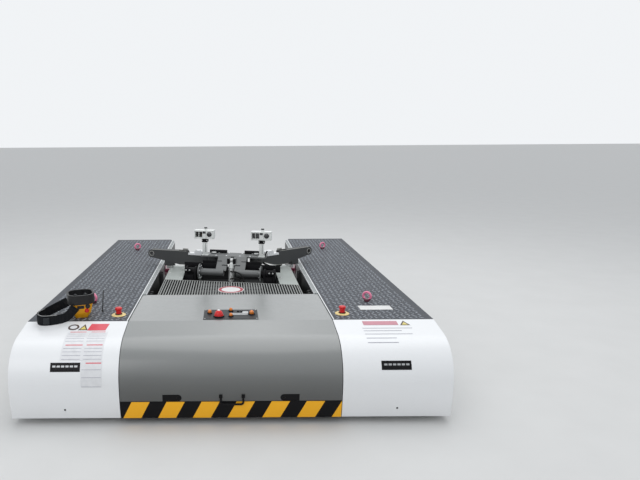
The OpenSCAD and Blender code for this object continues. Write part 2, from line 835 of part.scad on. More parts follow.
// Tilting yoke: flanged cross tubes, sloping plates, top plate, arm pins and the ram's upper ears
module yoke_frame() {
    tube_end = bracket_x[0] - 20;
    plate_top = bar_z + bar_t;
    ear_z = knuckle[0] - 6 - ear_t;
    color("silver") turned() {
        both() translate([0, 0, hinge_z]) difference() {
            union() {
                rod_x(tube_r, stem_x - 70, tube_end);
                rod_x(flange_r, tube_end - 10, tube_end);
            }
            rod_x(hinge_pin_r + fit, bracket_x[0] - 54, bracket_x[0]);
        }
        both() along_x(slot_x, stem_x) polygon([[-10, hinge_z + 18], [10, hinge_z + 14],
            [bar_v[0] + 4, bar_z], [bar_v[0] + 4, plate_top], [bar_v[0] - 6, plate_top]]);
        translate([0, 0, bar_z]) linear_extrude(bar_t) polygon([
            [-bar_x, bar_v[0]], [bar_x, bar_v[0]], [bar_x, bar_v[1] - 50], [bar_x - 50, bar_v[1]],
            [50 - bar_x, bar_v[1]], [-bar_x, bar_v[1] - 50],
        ]);
        block([-240, 240], [arm_v - 40, arm_v + 36], [ear_z, ear_z + ear_t]);
        block([-118, 118], [arm_v - 36, arm_v - 20], [ear_z + 1, bar_z + 1]);
        both() translate([arm_x, arm_v, ear_z]) cylinder(r = 15, h = plate_top + 8 - ear_z);
        both() along_x(14, slot_x + 1) {
            translate([eye_v, eye_z]) circle(18);
            polygon([[eye_v - 18, eye_z], [eye_v - 16, hinge_z + 62], [eye_v + 12, eye_z - 20],
                [bar_v[0] + 3, bar_z + 2], [bar_v[0] + 3, plate_top - 2], [eye_v + 10, eye_z + 14]]);
        }
        translate([0, eye_v, eye_z]) rod_x(ram_pin_r, -slot_x - 1, slot_x + 1);
    }
}

// Square posts on the top plate
module sensor_posts()
    color("silver") turned() both() translate([post_u, post_v, bar_z + bar_t]) {
        translate([-27, -22, 0]) cube([54, 44, 8]);
        translate([-15, -15, 7]) cube([30, 30, post_h - 7]);
    }

// Sensor heads: an open window on the left, a raised block in the middle and a sunk lens on the right
module sensor_heads()
    color("gainsboro") turned() for (side = [-1, 1])
        translate([side * post_u - 3, post_v, bar_z + bar_t + post_h]) {
            difference() {
                block([-head_x, head_x], [-32, 32], [0, 74]);
                block([7 - head_x, -14], [-33, 20], [12, 62]);
                translate([48, -24, 40]) rotate([90, 0, 0]) cylinder(r = 22, h = 10);
            }
            block([-10, 20], [-40, -31], [4, 70]);
            translate([10, 0, 73]) cylinder(r = 9, h = 15);
        }

// Cable ducts along the top plate's rear edge and the clamps under the sensor heads
module yoke_fittings()
    color("black") turned() both() {
        translate([0, bar_v[1] - 20, bar_z + bar_t + 14]) rod_x(14, 80, 235);
        translate([post_u, post_v, bar_z + bar_t + post_h]) difference() {
            block([-25, 25], [-23, 23], [-30, -seat]);
            block([-15 - seat, 15 + seat], [-15 - seat, 15 + seat], [-31, 1]);
        }
    }

module ram() turned() translate([0, foot_v, foot_z]) rotate([-ram_lean, 0, 0]) children();

// Barrel of the tilt cylinder, with its foot eye
module tilt_barrel()
    color("silver") ram() difference() {
        union() {
            rod_x(18, -12, 12);
            block([-12, 12], [-15, 15], [0, 28]);
            translate([0, 0, 27]) cylinder(r = barrel_r, h = barrel_l - 27);
            translate([0, 0, barrel_l - 14]) cylinder(r = barrel_r + 3, h = 14);
            for (z = [48, barrel_l - 22])
                translate([6, -barrel_r, z]) rotate([90, 0, 0]) cylinder(r = 9, h = 16, center = true);
        }
        rod_x(ram_pin_r + fit, -13, 13);
        translate([0, 0, 40]) cylinder(r = 11 + fit, h = barrel_l);
    }

// Rod of the tilt cylinder, with its upper eye
module tilt_rod()
    color("white") ram() difference() {
        union() {
            translate([0, 0, 50]) cylinder(r = 11, h = ram_l - 50 - 12);
            translate([0, 0, ram_l]) rod_x(18, -11, 11);
        }
        translate([0, 0, ram_l]) rod_x(ram_pin_r + 2, -12, 12);
    }

// The tilt cylinder's two hoses, from its ports round the cross tube to a block at its foot
module tilt_hoses() {
    port = -barrel_r - 8 - seat;
    high = barrel_l - 22;
    color("#1c1c1c") ram() {
        hose([[6, port, high], [6, port - 10, high], [6, port - 20, high], [44, -98, high + 4],
            [92, -106, high - 10], [122, -98, high - 50], [124, -74, 14], [104, -24, -1],
            [64, -3, -3]], hose_r);
        hose([[6, port, 48], [6, port - 10, 48], [6, port - 20, 48], [36, -76, 56], [68, -78, 54],
            [92, -56, 26], [86, -20, -13], [64, -4, -16]], hose_r);
        block([36, 63.6], [-14, 14], [-23, 10]);
    }
}

// Arm that swings on the yoke's pin, drawn straight out to +X with its pin at the origin
module arm() {
    difference() {
        union() {
            translate([0, 0, knuckle[0]]) cylinder(r = knuckle_r, h = knuckle[1] - knuckle[0]);
            translate([0, arm_t / 2, 0]) rotate([90, 0, 0]) linear_extrude(arm_t) {
                polygon([[0, knuckle[0]], [66, knuckle[0]], [150, 572], [210, 558], [330, 556],
                    [arm_l - 8, tip_z - tip_r + 1], [arm_l, tip_z + tip_r], [300, 682], [256, 682],
                    [246, knuckle[1]], [0, knuckle[1]]]);
                translate([arm_l, tip_z]) circle(tip_r);
            }
            block([arm_l - 205, arm_l - 125], [-22, 22], [542, 600]);
        }
        translate([0, 0, knuckle[0] - 1]) cylinder(r = 15 + fit, h = 80);
        translate([arm_l, arm_t, tip_z]) rotate([90, 0, 0]) cylinder(r = eye_r, h = 2 * arm_t);
    }
}
module at_arm(side) turned() translate([side * arm_x, arm_v, 0])
    rotate([0, 0, side > 0 ? arm_right_turn : 180 - arm_left_turn]) children();

module arm_left() color("#2b2d30") at_arm(-1) arm();
module arm_right() color("#2b2d30") at_arm(1) arm();

// White switch box with its chamfered cover, on the low part of an arm
module arm_box() {
    low = knuckle[1] + seat;
    color("white") {
        block([178, 240], [-26, 26], [low, low + 16]);
        translate([0, 26, 0]) rotate([90, 0, 0]) linear_extrude(52)
            polygon([[108, low], [180, low], [180, low + 32], [170, low + 44], [118, low + 44],
                [108, low + 34]]);
    }
}
module arm_box_left() at_arm(-1) arm_box();
module arm_box_right() at_arm(1) arm_box();

// Two hoses that hang under the right arm
module arm_hoses()
    color("#1c1c1c") at_arm(1) for (v = [-14, 8])
        hose([[70, v, 594], [92, v - 3, 581], [128, v - 6, 563], [180, v - 6, 545], [236, v - 4, 541],
            [282, v, 548.6]], hose_r + 1);

pod_left();
pod_right();
nose_left();
nose_right();
deck_left();
deck_right();
rails();
chassis_frame();
hood();
hazard_bar();
hazard_stripes();
head_lamps();
control_panel();
amber_lamps();
red_beacon();
stop_collars();
stop_buttons();
lifting_rings();
antenna();
hood_latches();
tow_bail();
battery();
lift_barrels();
lift_guides();
drive_motors();
remote_control();
remote_belt();
drive_tyre_left();
drive_tyre_right();
drive_rim_left();
drive_rim_right();
castor_fork_left();
castor_fork_right();
castor_wheels_left();
castor_wheels_right();
carriage_frame();
wheel_tray();
tread_grating();
carriage_covers();
lift_rods();
swivel_base();
hinge_brackets();
yoke_frame();
sensor_posts();
sensor_heads();
yoke_fittings();
tilt_barrel();
tilt_rod();
tilt_hoses();
arm_left();
arm_right();
arm_box_left();
arm_box_right();
arm_hoses();
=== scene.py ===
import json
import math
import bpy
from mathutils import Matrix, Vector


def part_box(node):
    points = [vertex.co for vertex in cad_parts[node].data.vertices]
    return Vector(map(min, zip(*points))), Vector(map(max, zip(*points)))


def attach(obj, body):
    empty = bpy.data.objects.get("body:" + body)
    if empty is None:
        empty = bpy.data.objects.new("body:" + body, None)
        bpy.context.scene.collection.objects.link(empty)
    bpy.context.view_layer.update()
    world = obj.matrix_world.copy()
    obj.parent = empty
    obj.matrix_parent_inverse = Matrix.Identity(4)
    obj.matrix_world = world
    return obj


bl_info = {
    "name": "Aircraft Pushback Tractor",
    "version": (1, 0, 0),
    "blender": (4, 5, 0),
    "location": "View3D > Sidebar > Tractor",
    "description": "Finishes, fittings and small pieces of a low towbarless pushback tractor",
    "category": "Object",
}

import bpy
from mathutils import Vector

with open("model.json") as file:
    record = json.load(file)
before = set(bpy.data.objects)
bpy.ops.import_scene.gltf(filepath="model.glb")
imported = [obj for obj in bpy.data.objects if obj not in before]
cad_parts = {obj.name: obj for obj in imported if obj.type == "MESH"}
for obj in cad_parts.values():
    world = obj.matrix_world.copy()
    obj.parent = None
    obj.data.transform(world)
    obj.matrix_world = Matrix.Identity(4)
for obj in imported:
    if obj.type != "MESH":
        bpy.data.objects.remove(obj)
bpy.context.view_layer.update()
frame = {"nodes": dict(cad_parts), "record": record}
nodes = frame["nodes"]

# The photograph's camera, in metres and degrees, with its picture 640 pixels wide
PICTURE_W = 640
FOCAL_PX = 570
CENTRE_PX = 229.3
CAMERA_DISTANCE = 3.128
CAMERA_HEIGHT = 1.664
CAMERA_PITCH = 9.95
CAMERA_ROLL = 0.38
SENSOR_W = 36.0

# The side view of the nose, in metres, as the sheets are rolled
NOSE_RADIUS = 0.235
NOSE_SLOPE = math.radians(10)
NOSE_LENGTH = 0.378
NOSE_TUCK = 0.025

DECK_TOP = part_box("deck_right")[1].z
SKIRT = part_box("nose_right")[0].z
NOSE_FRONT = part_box("nose_right")[0].y
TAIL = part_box("pod_right")[1].y
HOOD_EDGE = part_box("hood")[1].y
BAY_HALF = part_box("pod_right")[0].x
RAIL_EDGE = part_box("rails")[1].x

# The top of the grating, and its rear edge, which runs aslant
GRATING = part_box("tread_grating")[1].z
GRATING_REAR = HOOD_EDGE + 0.406
GRATING_SLOPE = math.tan(math.radians(11))

# The yoke's swivel, and what stands on the yoke as (across, along) it, in metres
YOKE_Y = -0.1025
YOKE_TURN = math.radians(-12)
ARM_PIN = (0.190, 0.210)
ARM_TURN = {-1: math.radians(160), 1: math.radians(36)}
PLATE_TOP = 0.672
POST = (0.250, 0.134)
HEAD_SHIFT = 0.003
HEAD_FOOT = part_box("sensor_heads")[0].z
HINGE_HEIGHT = 0.552
FLANGE_FACE = 0.260
FLANGE_BOLTS = 0.052
RAM_FOOT = (0, 0.036, 0.446)
RAM_LEAN = math.atan2(0.034, 0.200)

# The remote's foot on the left deck, and its turn
REMOTE_PLACE = (-0.982, -1.2115, DECK_TOP)
REMOTE_TURN = math.radians(20)


class TractorFinish(bpy.types.PropertyGroup):
    """Paint colours, as linear values"""

    white: bpy.props.FloatVectorProperty(
        name="White paint", description="Nose panels", subtype="COLOR", default=(0.80, 0.81, 0.82)
    )
    grey: bpy.props.FloatVectorProperty(
        name="Grey paint", description="Hood", subtype="COLOR", default=(0.222, 0.232, 0.227)
    )
    pale: bpy.props.FloatVectorProperty(
        name="Pale paint", description="Pods, rails, carriage", subtype="COLOR", default=(0.50, 0.52, 0.52)
    )
    deck: bpy.props.FloatVectorProperty(
        name="Deck paint", description="Tread decks", subtype="COLOR", default=(0.042, 0.048, 0.059)
    )
    dark: bpy.props.FloatVectorProperty(
        name="Dark paint", description="Arms, running gear", subtype="COLOR", default=(0.045, 0.047, 0.048)
    )
    yellow: bpy.props.FloatVectorProperty(
        name="Stripe yellow", description="Hazard stripes", subtype="COLOR", default=(0.93, 0.45, 0.006)
    )
    pink: bpy.props.FloatVectorProperty(
        name="Ring pink", description="Lifting rings", subtype="COLOR", default=(0.80, 0.21, 0.35)
    )


class TractorSizes(bpy.types.PropertyGroup):
    """Sizes of the small pieces"""

    lug_pitch: bpy.props.FloatProperty(
        name="Lug pitch", description="Distance between tread lugs", default=0.036, unit="LENGTH"
    )
    lug_length: bpy.props.FloatProperty(
        name="Lug length", description="Length of one tread lug", default=0.048, unit="LENGTH"
    )
    lug_height: bpy.props.FloatProperty(
        name="Lug height", description="Height of one tread lug", default=0.0025, unit="LENGTH"
    )


# Shader building

class Wire:
    """One output of a material's node tree, usable in arithmetic."""

    def __init__(self, tree, socket):
        self.tree = tree
        self.socket = socket

    def node(self, kind, settings=None, inputs=None, output=0):
        """Adds a node, sets its settings, feeds its sockets and returns one of its outputs."""
        made = self.tree.nodes.new(kind)
        for key, value in (settings or {}).items():
            setattr(made, key, value)
        for key, value in (inputs or {}).items():
            if isinstance(value, Wire):
                self.tree.links.new(value.socket, made.inputs[key])
            elif isinstance(value, tuple) and len(value) == 3 and made.inputs[key].type == "RGBA":
                made.inputs[key].default_value = (*value, 1.0)
            else:
                made.inputs[key].default_value = value
        return Wire(self.tree, made.outputs[output])

    def math(self, operation, *others):
        return self.node("ShaderNodeMath", {"operation": operation}, dict(enumerate((self, *others))))

    def __add__(self, other):
        return self.math("ADD", other)

    __radd__ = __add__

    def __mul__(self, other):
        return self.math("MULTIPLY", other)

    __rmul__ = __mul__

    def __sub__(self, other):
        return self.math("SUBTRACT", other)

    def __rsub__(self, other):
        return (self * -1.0) + other

    def step(self, low, high):
        """0 below low, 1 above high, smooth between them."""
        return self.node(
            "ShaderNodeMapRange",
            {"interpolation_type": "SMOOTHSTEP"},
            {"Value": self, "From Min": low, "From Max": high},
        )

    def mix(self, first, second):
        """A colour between first, where this is 0, and second, where it is 1."""
        return self.node("ShaderNodeMix", {"data_type": "RGBA"}, {0: self, 6: first, 7: second}, output=2)


materials = {}


class Finish:
    """A material kept under its name, its shader and its object coordinates as wires."""

    def __init__(self, name, color, roughness, metallic=0.0, coat=0.0, specular=0.5):
        self.material = bpy.data.materials.new(name)
        self.material.use_nodes = True
        materials[name] = self.material
        self.tree = self.material.node_tree
        self.shader = self.tree.nodes["Principled BSDF"]
        for socket, value in (
            ("Base Color", (*color, 1.0)), ("Roughness", roughness), ("Metallic", metallic),
            ("Coat Weight", coat), ("Coat Roughness", roughness * 0.7), ("Specular IOR Level", specular),
        ):
            self.shader.inputs[socket].default_value = value
        coordinates = self.tree.nodes.new("ShaderNodeTexCoord")
        self.place = Wire(self.tree, coordinates.outputs["Object"])
        split = self.tree.nodes.new("ShaderNodeSeparateXYZ")
        self.tree.links.new(self.place.socket, split.inputs[0])
        self.x, self.y, self.z = (Wire(self.tree, socket) for socket in split.outputs)

    def noise(self, scale, detail=3.0, stretch=None):
        """Noise from 0 to 1 with that many cells to the metre."""
        place = self.place
        if stretch:
            place = place.node("ShaderNodeVectorMath", {"operation": "MULTIPLY"}, {0: place, 1: stretch})
        inputs = {"Vector": place, "Scale": scale, "Detail": detail, "Roughness": 0.55}
        return place.node("ShaderNodeTexNoise", {}, inputs)

    def feed(self, socket, wire):
        self.tree.links.new(wire.socket, self.shader.inputs[socket])

    def relief(self, height, distance, strength, round_edges=0.0):
        """Feeds the shader's normal from a height in the range 0 to 1 and from rounded edges."""
        inputs = {"Height": height, "Distance": distance, "Strength": strength}
        if round_edges:
            inputs["Normal"] = self.place.node("ShaderNodeBevel", {"samples": 4}, {"Radius": round_edges})
        self.feed("Normal", self.place.node("ShaderNodeBump", {}, inputs))


def shade(color, factor):
    return tuple(min(1.0, channel * factor) for channel in color)


DUST = (0.42, 0.38, 0.33)
GRIME = (0.055, 0.050, 0.045)


def bay_painted_shade(finish):
    """1 on what lies between the pods, below the decks, where the colour is darkened as painted shade."""
    inside = 1.0 - finish.x.math("ABSOLUTE").step(BAY_HALF + 0.003, BAY_HALF + 0.006)
    return inside * (1.0 - finish.z.step(DECK_TOP - 0.009, DECK_TOP - 0.006))


def on_rail(finish):
    return finish.z.step(DECK_TOP - 0.0065, DECK_TOP - 0.0055)


def rail_edge_painted_highlight(finish):
    """1 on the two edges of a rail's top, where a pale line is a painted highlight."""
    across = finish.x.math("ABSOLUTE")
    outer = across.step(RAIL_EDGE - 0.0075, RAIL_EDGE - 0.0065)
    inner = 1.0 - across.step(BAY_HALF + 0.0020, BAY_HALF + 0.0030)
    return on_rail(finish) * (outer + inner)


def hood_front_painted_shade(finish):
    """Rises from 0 on the hood's top to 1 low on its front: painted shade, darker towards the bottom."""
    return 1.0 - finish.z.step(0.14, 0.55)


def on_ring_base(finish):
    return 1.0 - finish.z.step(DECK_TOP + 0.018, DECK_TOP + 0.022)


def on_covers(finish):
    return 1.0 - finish.z.step(GRATING + 0.001, GRATING + 0.003)


def on_grating(finish):
    """1 ahead of the grating's slanted rear edge."""
    rear = finish.y + finish.x * GRATING_SLOPE
    return on_covers(finish) * (1.0 - rear.step(GRATING_REAR + 0.001, GRATING_REAR + 0.003))


# Painted shade: near black below the grating's top, between its bars.
def grating_gap_painted_shade(finish):
    return on_grating(finish) * (1.0 - finish.z.step(GRATING - 0.0030, GRATING - 0.0010))


def on_guard(finish):
    return finish.z.step(DECK_TOP + 0.0985, DECK_TOP + 0.0995)


def collar_painted_highlight(finish):
    """1 on the flat collars round the emergency stops, whose pale yellow is a painted highlight."""
    near = 1.0 - finish.x.math("ABSOLUTE").step(0.800, 0.805)
    return near * (1.0 - finish.z.step(DECK_TOP + 0.0068, DECK_TOP + 0.0072))


def regions_over(tone, finish, cloud, regions):
    """The tone with other colours laid over it where their masks are 1."""
    for mask, color in regions:
        tone = mask(finish).mix(tone, cloud.mix(shade(color, 0.85), shade(color, 1.15)))
    return tone


def paint(name, color, dust, roughness=0.38, coat=0.2, wear=0.25, specular=0.5, regions=()):
    """Sprayed paint: slight cloudiness, dust low down, rubbed streaks, orange peel and soft edges."""
    finish = Finish(name, color, roughness, coat=coat, specular=specular)
    cloud = finish.noise(2.2, detail=4.0)
    streak = finish.noise(9.0, stretch=(3.0, 3.0, 0.5))
    speck = finish.noise(160.0, detail=2.0).step(0.66, 0.74)
    low = 1.0 - finish.z.step(SKIRT, SKIRT + 0.22)
    tone = cloud.mix(shade(color, 0.95), shade(color, 1.04))
    settled = (low * 0.7 + 0.25) * cloud.step(0.35, 0.75) * dust
    tone = settled.mix(tone, DUST)
    tone = (streak.step(0.58, 0.78) * (wear * 0.35)).mix(tone, shade(color, 0.72))
    tone = (speck * (wear * 0.5)).mix(tone, GRIME)
    finish.feed("Base Color", regions_over(tone, finish, cloud, regions))
    finish.feed("Roughness", streak * 0.16 + (roughness - 0.06) + settled * 0.5)
    finish.relief(finish.noise(420.0, detail=1.0), distance=0.00012, strength=0.5, round_edges=0.0015)


def deck_paint(name, color):
    """Dark tread plate paint with dust between the lugs and paler lug tops, partly wear and partly painted
    highlight.
    """
    finish = Finish(name, color, 0.5, specular=0.3)
    cloud = finish.noise(1.7, detail=5.0)
    fine = finish.noise(55.0, detail=4.0)
    high = finish.z.step(DECK_TOP + 0.0004, DECK_TOP + 0.0016)
    tone = cloud.mix(shade(color, 0.84), shade(color, 1.18))
    tone = (fine.step(0.5, 0.8) * 0.30).mix(tone, shade(DUST, 0.75))
    # Paler lug tops: partly wear, partly a painted highlight where light falls on them.
    tone = (high * fine.step(0.30, 0.60) * 0.85).mix(tone, (0.38, 0.41, 0.45))
    finish.feed("Base Color", tone)
    finish.feed("Roughness", fine * 0.25 + 0.38 - high * 0.10)
    finish.relief(finish.noise(300.0, detail=2.0), distance=0.0003, strength=0.4, round_edges=0.001)


def metal(name, color, roughness, metallic, spangle=0.0, regions=()):
    """Bare or galvanised metal, with spangle as patches and fine scratches."""
    finish = Finish(name, color, roughness, metallic=metallic)
    cloud = finish.noise(5.0, detail=4.0)
    scratch = finish.noise(70.0, stretch=(1.0, 6.0, 1.0))
    tone = cloud.mix(shade(color, 0.88), shade(color, 1.08))
    if spangle:
        cells = finish.place.node("ShaderNodeTexVoronoi", {}, {"Vector": finish.place, "Scale": 110.0})
        tone = (cells * spangle).mix(tone, shade(color, 1.25))
    tone = (scratch.step(0.62, 0.8) * 0.3).mix(tone, shade(color, 0.6))
    finish.feed("Base Color", regions_over(tone, finish, cloud, regions))
    finish.feed("Roughness", scratch * 0.2 + (roughness - 0.08))
    finish.relief(scratch, distance=0.0001, strength=0.35, round_edges=0.001)
    return finish.material


def rubber(name, color):
    """Matt rubber, greyed by dust."""
    finish = Finish(name, color, 0.75, specular=0.2)
    cloud = finish.noise(14.0, detail=5.0)
    grain = finish.noise(500.0, detail=2.0)
    finish.feed("Base Color", (cloud.step(0.4, 0.75) * 0.3).mix(color, shade(DUST, 0.35)))
    finish.feed("Roughness", cloud * 0.2 + 0.65)
    finish.relief(grain, distance=0.0002, strength=0.5, round_edges=0.001)


def plastic(name, color, roughness, coat=0.1, specular=0.5, regions=()):
    """Moulded plastic with a faint grain and a tone that varies at random."""
    finish = Finish(name, color, roughness, coat=coat, specular=specular)
    cloud = finish.noise(30.0)
    tone = cloud.mix(shade(color, 0.85), shade(color, 1.08))
    finish.feed("Base Color", regions_over(tone, finish, cloud, regions))
    finish.feed("Roughness", cloud * 0.14 + (roughness - 0.05))
    finish.relief(finish.noise(900.0, detail=1.0), distance=0.00008, strength=0.4, round_edges=0.0008)
    return finish.material


def woven(name, color):
    """Strap webbing, with its weave across and along."""
    finish = Finish(name, color, 0.85, specular=0.1)
    across = (finish.x * 1500.0).math("SINE")
    along = (finish.y * 1500.0).math("SINE")
    weave = across * along * 0.5 + 0.5
    cloud = finish.noise(25.0)
    tone = weave.mix(shade(color, 0.7), shade(color, 1.4))
    finish.feed("Base Color", (cloud.step(0.45, 0.8) * 0.10).mix(tone, shade(DUST, 0.3)))
    finish.feed("Roughness", weave * 0.1 + 0.78)
    finish.relief(weave, distance=0.0004, strength=0.6)


# Modelling helpers

def deselect():
    if bpy.context.object and bpy.context.object.mode != "OBJECT":
        bpy.ops.object.mode_set(mode="OBJECT")
    bpy.ops.object.select_all(action="DESELECT")


def pick(piece):
    deselect()
    piece.select_set(True)
    bpy.context.view_layer.objects.active = piece


def applied():
    """Applies the selected piece's place, turn and scale, and returns the piece."""
    bpy.ops.object.transform_apply(location=True, rotation=True, scale=True)
    return bpy.context.object


def editing():
    """Enters edit mode with all of the picked piece selected."""
    bpy.ops.object.mode_set(mode="EDIT")
    bpy.ops.mesh.select_all(action="SELECT")


def modify(piece, kind, **settings):
    """Adds a modifier and applies it."""
    pick(piece)
    bpy.ops.object.modifier_add(type=kind)
    modifier = piece.modifiers[-1]
    for key, value in settings.items():
        setattr(modifier, key, value)
    bpy.ops.object.modifier_apply(modifier=modifier.name)
    return piece


def outward(piece):
    """Turns a piece's faces outward."""
    pick(piece)
    editing()
    bpy.ops.mesh.normals_make_consistent(inside=False)
    bpy.ops.object.mode_set(mode="OBJECT")
    return piece


def block(low, high, bevel=0.0):
    """A bevelled block between two corners."""
    low, high = Vector(low), Vector(high)
    deselect()
    bpy.ops.mesh.primitive_cube_add(size=1.0, location=(low + high) / 2, scale=high - low)
    piece = applied()
    if bevel:
        modify(piece, "BEVEL", width=bevel, segments=2, limit_method="ANGLE")
    return piece


def aimed(piece, center, axis):
    """Turns a piece's Z to an axis and moves it to its centre."""
    piece.rotation_euler = {"X": (0, math.pi / 2, 0), "Y": (math.pi / 2, 0, 0), "Z": (0, 0, 0)}[axis]
    piece.location = center
    return applied()


def beside(side, low, high, bevel):
    """A block whose X runs outward on one side of the middle."""
    near, far = sorted((side * low[0], side * high[0]))
    return block((near, *low[1:]), (far, *high[1:]), bevel)


def turned(center, profile, sides, axis="Z"):
    """A body drawn up from a circle ring by ring. The profile holds (radius, height)."""
    deselect()
    radius, height = profile[0]
    bpy.ops.mesh.primitive_circle_add(
        vertices=sides, radius=radius, fill_type="NGON", location=(0, 0, height)
    )
    piece = applied()
    editing()
    for next_radius, next_height in profile[1:]:
        next_radius = max(next_radius, 0.0001)
        bpy.ops.mesh.extrude_region_move(TRANSFORM_OT_translate={"value": (0, 0, next_height - height)})
        ratio = next_radius / radius
        bpy.ops.transform.resize(value=(ratio, ratio, 1.0), center_override=(0, 0, next_height))
        radius, height = next_radius, next_height
    bpy.ops.object.mode_set(mode="OBJECT")
    return aimed(outward(piece), center, axis)


def disc(center, radius, height, axis="Z", sides=24):
    """A flat disc with a broken edge."""
    edge = min(radius * 0.15, abs(height) * 0.4)
    shoulder = height - math.copysign(edge, height)
    return turned(center, [(radius, 0), (radius, shoulder), (radius - edge, height)], sides, axis)


def bolt(center, radius, axis="Z"):
    """A hexagon head on its washer."""
    head = turned(center, [(radius, 0), (radius, radius * 0.65), (radius * 0.85, radius * 0.8)], 6, axis)
    return joined([disc(center, radius * 1.35, radius * 0.22, axis, 20), head])


def ring(center, outer, inner, height, axis="Z", sides=40):
    """A flat ring with a round edge."""
    deselect()
    bar = (outer - inner) / 2
    bpy.ops.mesh.primitive_torus_add(
        major_segments=sides, minor_segments=10, major_radius=outer - bar, minor_radius=bar
    )
    piece = bpy.context.object
    piece.scale = (1, 1, height / (2 * bar))
    return aimed(piece, center, axis)


def placed(piece, place, turn=0.0):
    """Turns a piece about the vertical, moves it and applies both."""
    pick(piece)
    piece.rotation_euler = (0, 0, turn)
    piece.location = place
    return applied()


def copied(piece, place, turn=0.0):
    """A placed copy of a piece with its own mesh."""
    pick(piece)
    bpy.ops.object.duplicate()
    return placed(bpy.context.object, place, turn)


def row(piece, count, step):
    """Repeats a piece along a step."""
    return modify(piece, "ARRAY", count=count, use_relative_offset=False,
                  use_constant_offset=True, constant_offset_displace=step)


def on_yoke(piece):
    """Moves a piece drawn across (X) and along (Y) the yoke to where the yoke stands."""
    return placed(piece, (0, YOKE_Y, 0), YOKE_TURN)


def on_arm(piece, side):
    """Moves a piece drawn along an arm from its pin to where that arm stands."""
    across, along = side * ARM_PIN[0], ARM_PIN[1]
    c, n = math.cos(YOKE_TURN), math.sin(YOKE_TURN)
    return placed(piece, (across * c - along * n, YOKE_Y + across * n + along * c, 0), ARM_TURN[side])


def on_ram(piece):
    """Moves a piece drawn up from the tilt cylinder's foot pin to where the cylinder stands."""
    pick(piece)
    piece.rotation_euler = (-RAM_LEAN, 0, 0)
    piece.location = RAM_FOOT
    applied()
    return on_yoke(piece)


def on_remote(piece):
    """Moves a piece drawn about the remote's foot to where the remote was put down."""
    return placed(piece, REMOTE_PLACE, REMOTE_TURN)


def on_belt(piece):
    """Moves a piece of the remote's belt, which is drawn as it lies on the deck."""
    return placed(piece, REMOTE_PLACE)


def mirrored(piece):
    """A copy of a piece on the machine's other side."""
    pick(piece)
    bpy.ops.object.duplicate()
    copy = bpy.context.object
    copy.scale.x = -1
    return outward(applied())


def joined(pieces):
    deselect()
    for piece in pieces:
        piece.select_set(True)
    bpy.context.view_layer.objects.active = pieces[0]
    if len(pieces) > 1:
        bpy.ops.object.join()
    return bpy.context.object


def tube(points, radius, sides=12):
    """A round hose or bar along a smooth path through points."""
    deselect()
    bpy.ops.curve.primitive_nurbs_path_add()
    path = bpy.context.object
    path.data.splines.clear()
    spline = path.data.splines.new("NURBS")
    spline.points.add(len(points) - 1)
    for point, place in zip(spline.points, points):
        point.co = (*place, 1.0)
    spline.use_endpoint_u = True
    spline.order_u = 4
    path.data.resolution_u = 8
    path.data.bevel_depth = radius
    path.data.bevel_resolution = max(1, sides // 4 - 1)
    path.data.use_fill_caps = True
    bpy.ops.object.convert(target="MESH")
    return applied()


def finished(name, pieces, body, slot, material=None, at=None):
    """Joins pieces, moves them with at, names the result, gives it a material, which is the slot's
    own unless another is given, and hangs it on a body."""
    piece = joined(pieces if isinstance(pieces, list) else [pieces])
    if at:
        at(piece)
    piece.name = name
    piece.data.name = name
    pick(piece)
    bpy.ops.object.shade_smooth_by_angle(angle=math.radians(30))
    piece.data.materials.clear()
    piece.data.materials.append(material or materials[slot])
    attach(piece, body)


NOSE_FLAT = (NOSE_LENGTH - NOSE_RADIUS + NOSE_RADIUS * math.sin(NOSE_SLOPE)) / math.cos(NOSE_SLOPE)
NOSE_ARC = NOSE_RADIUS * (math.pi / 2 - NOSE_SLOPE)
NOSE_MIDDLE = DECK_TOP - NOSE_FLAT * math.sin(NOSE_SLOPE) - NOSE_RADIUS * math.cos(NOSE_SLOPE)
CHIN_RADIUS = (NOSE_TUCK**2 + (NOSE_MIDDLE - SKIRT) ** 2) / (2 * NOSE_TUCK)


def on_nose(run, lift=0.0):
    """Y and Z of the nose's skin at a run down from the deck's edge, raised by lift."""
    if run < NOSE_FLAT:
        lean = NOSE_SLOPE
        y, z = NOSE_LENGTH - run * math.cos(lean), DECK_TOP - run * math.sin(lean)
    elif run < NOSE_FLAT + NOSE_ARC:
        lean = NOSE_SLOPE + (run - NOSE_FLAT) / NOSE_RADIUS
        y, z = NOSE_RADIUS * (1 - math.sin(lean)), NOSE_MIDDLE + NOSE_RADIUS * math.cos(lean)
    else:
        lean = math.pi / 2 + (run - NOSE_FLAT - NOSE_ARC) / CHIN_RADIUS
        y, z = CHIN_RADIUS * (1 - math.sin(lean)), NOSE_MIDDLE + CHIN_RADIUS * math.cos(lean)
    return NOSE_FRONT + y - lift * math.sin(lean), z + lift * math.cos(lean)


def nose_patch(x0, x1, run0, run1, lift=0.0006, thickness=0.0005, slant=0.0, outline=None):
    """A thin sheet laid on the nose between two runs, its sides slanted. The outline gives its
    half width, from 0 to 1, for a place from -1 at run0 to 1 at run1."""
    deselect()
    rows = 16 if outline else max(2, int((run1 - run0) / 0.012))
    bpy.ops.mesh.primitive_grid_add(x_subdivisions=2, y_subdivisions=rows, size=2.0)
    piece = bpy.context.object
    for vertex in piece.data.vertices:
        across, along = vertex.co.x, vertex.co.y
        if outline:
            across *= max(0.01, outline(along))
        y, z = on_nose(run0 + (run1 - run0) * (along + 1) / 2, lift)
        vertex.co = (x0 + (x1 - x0) * (across + 1) / 2 - slant * along, y, z)
    return modify(outward(piece), "SOLIDIFY", thickness=thickness, offset=0.0)


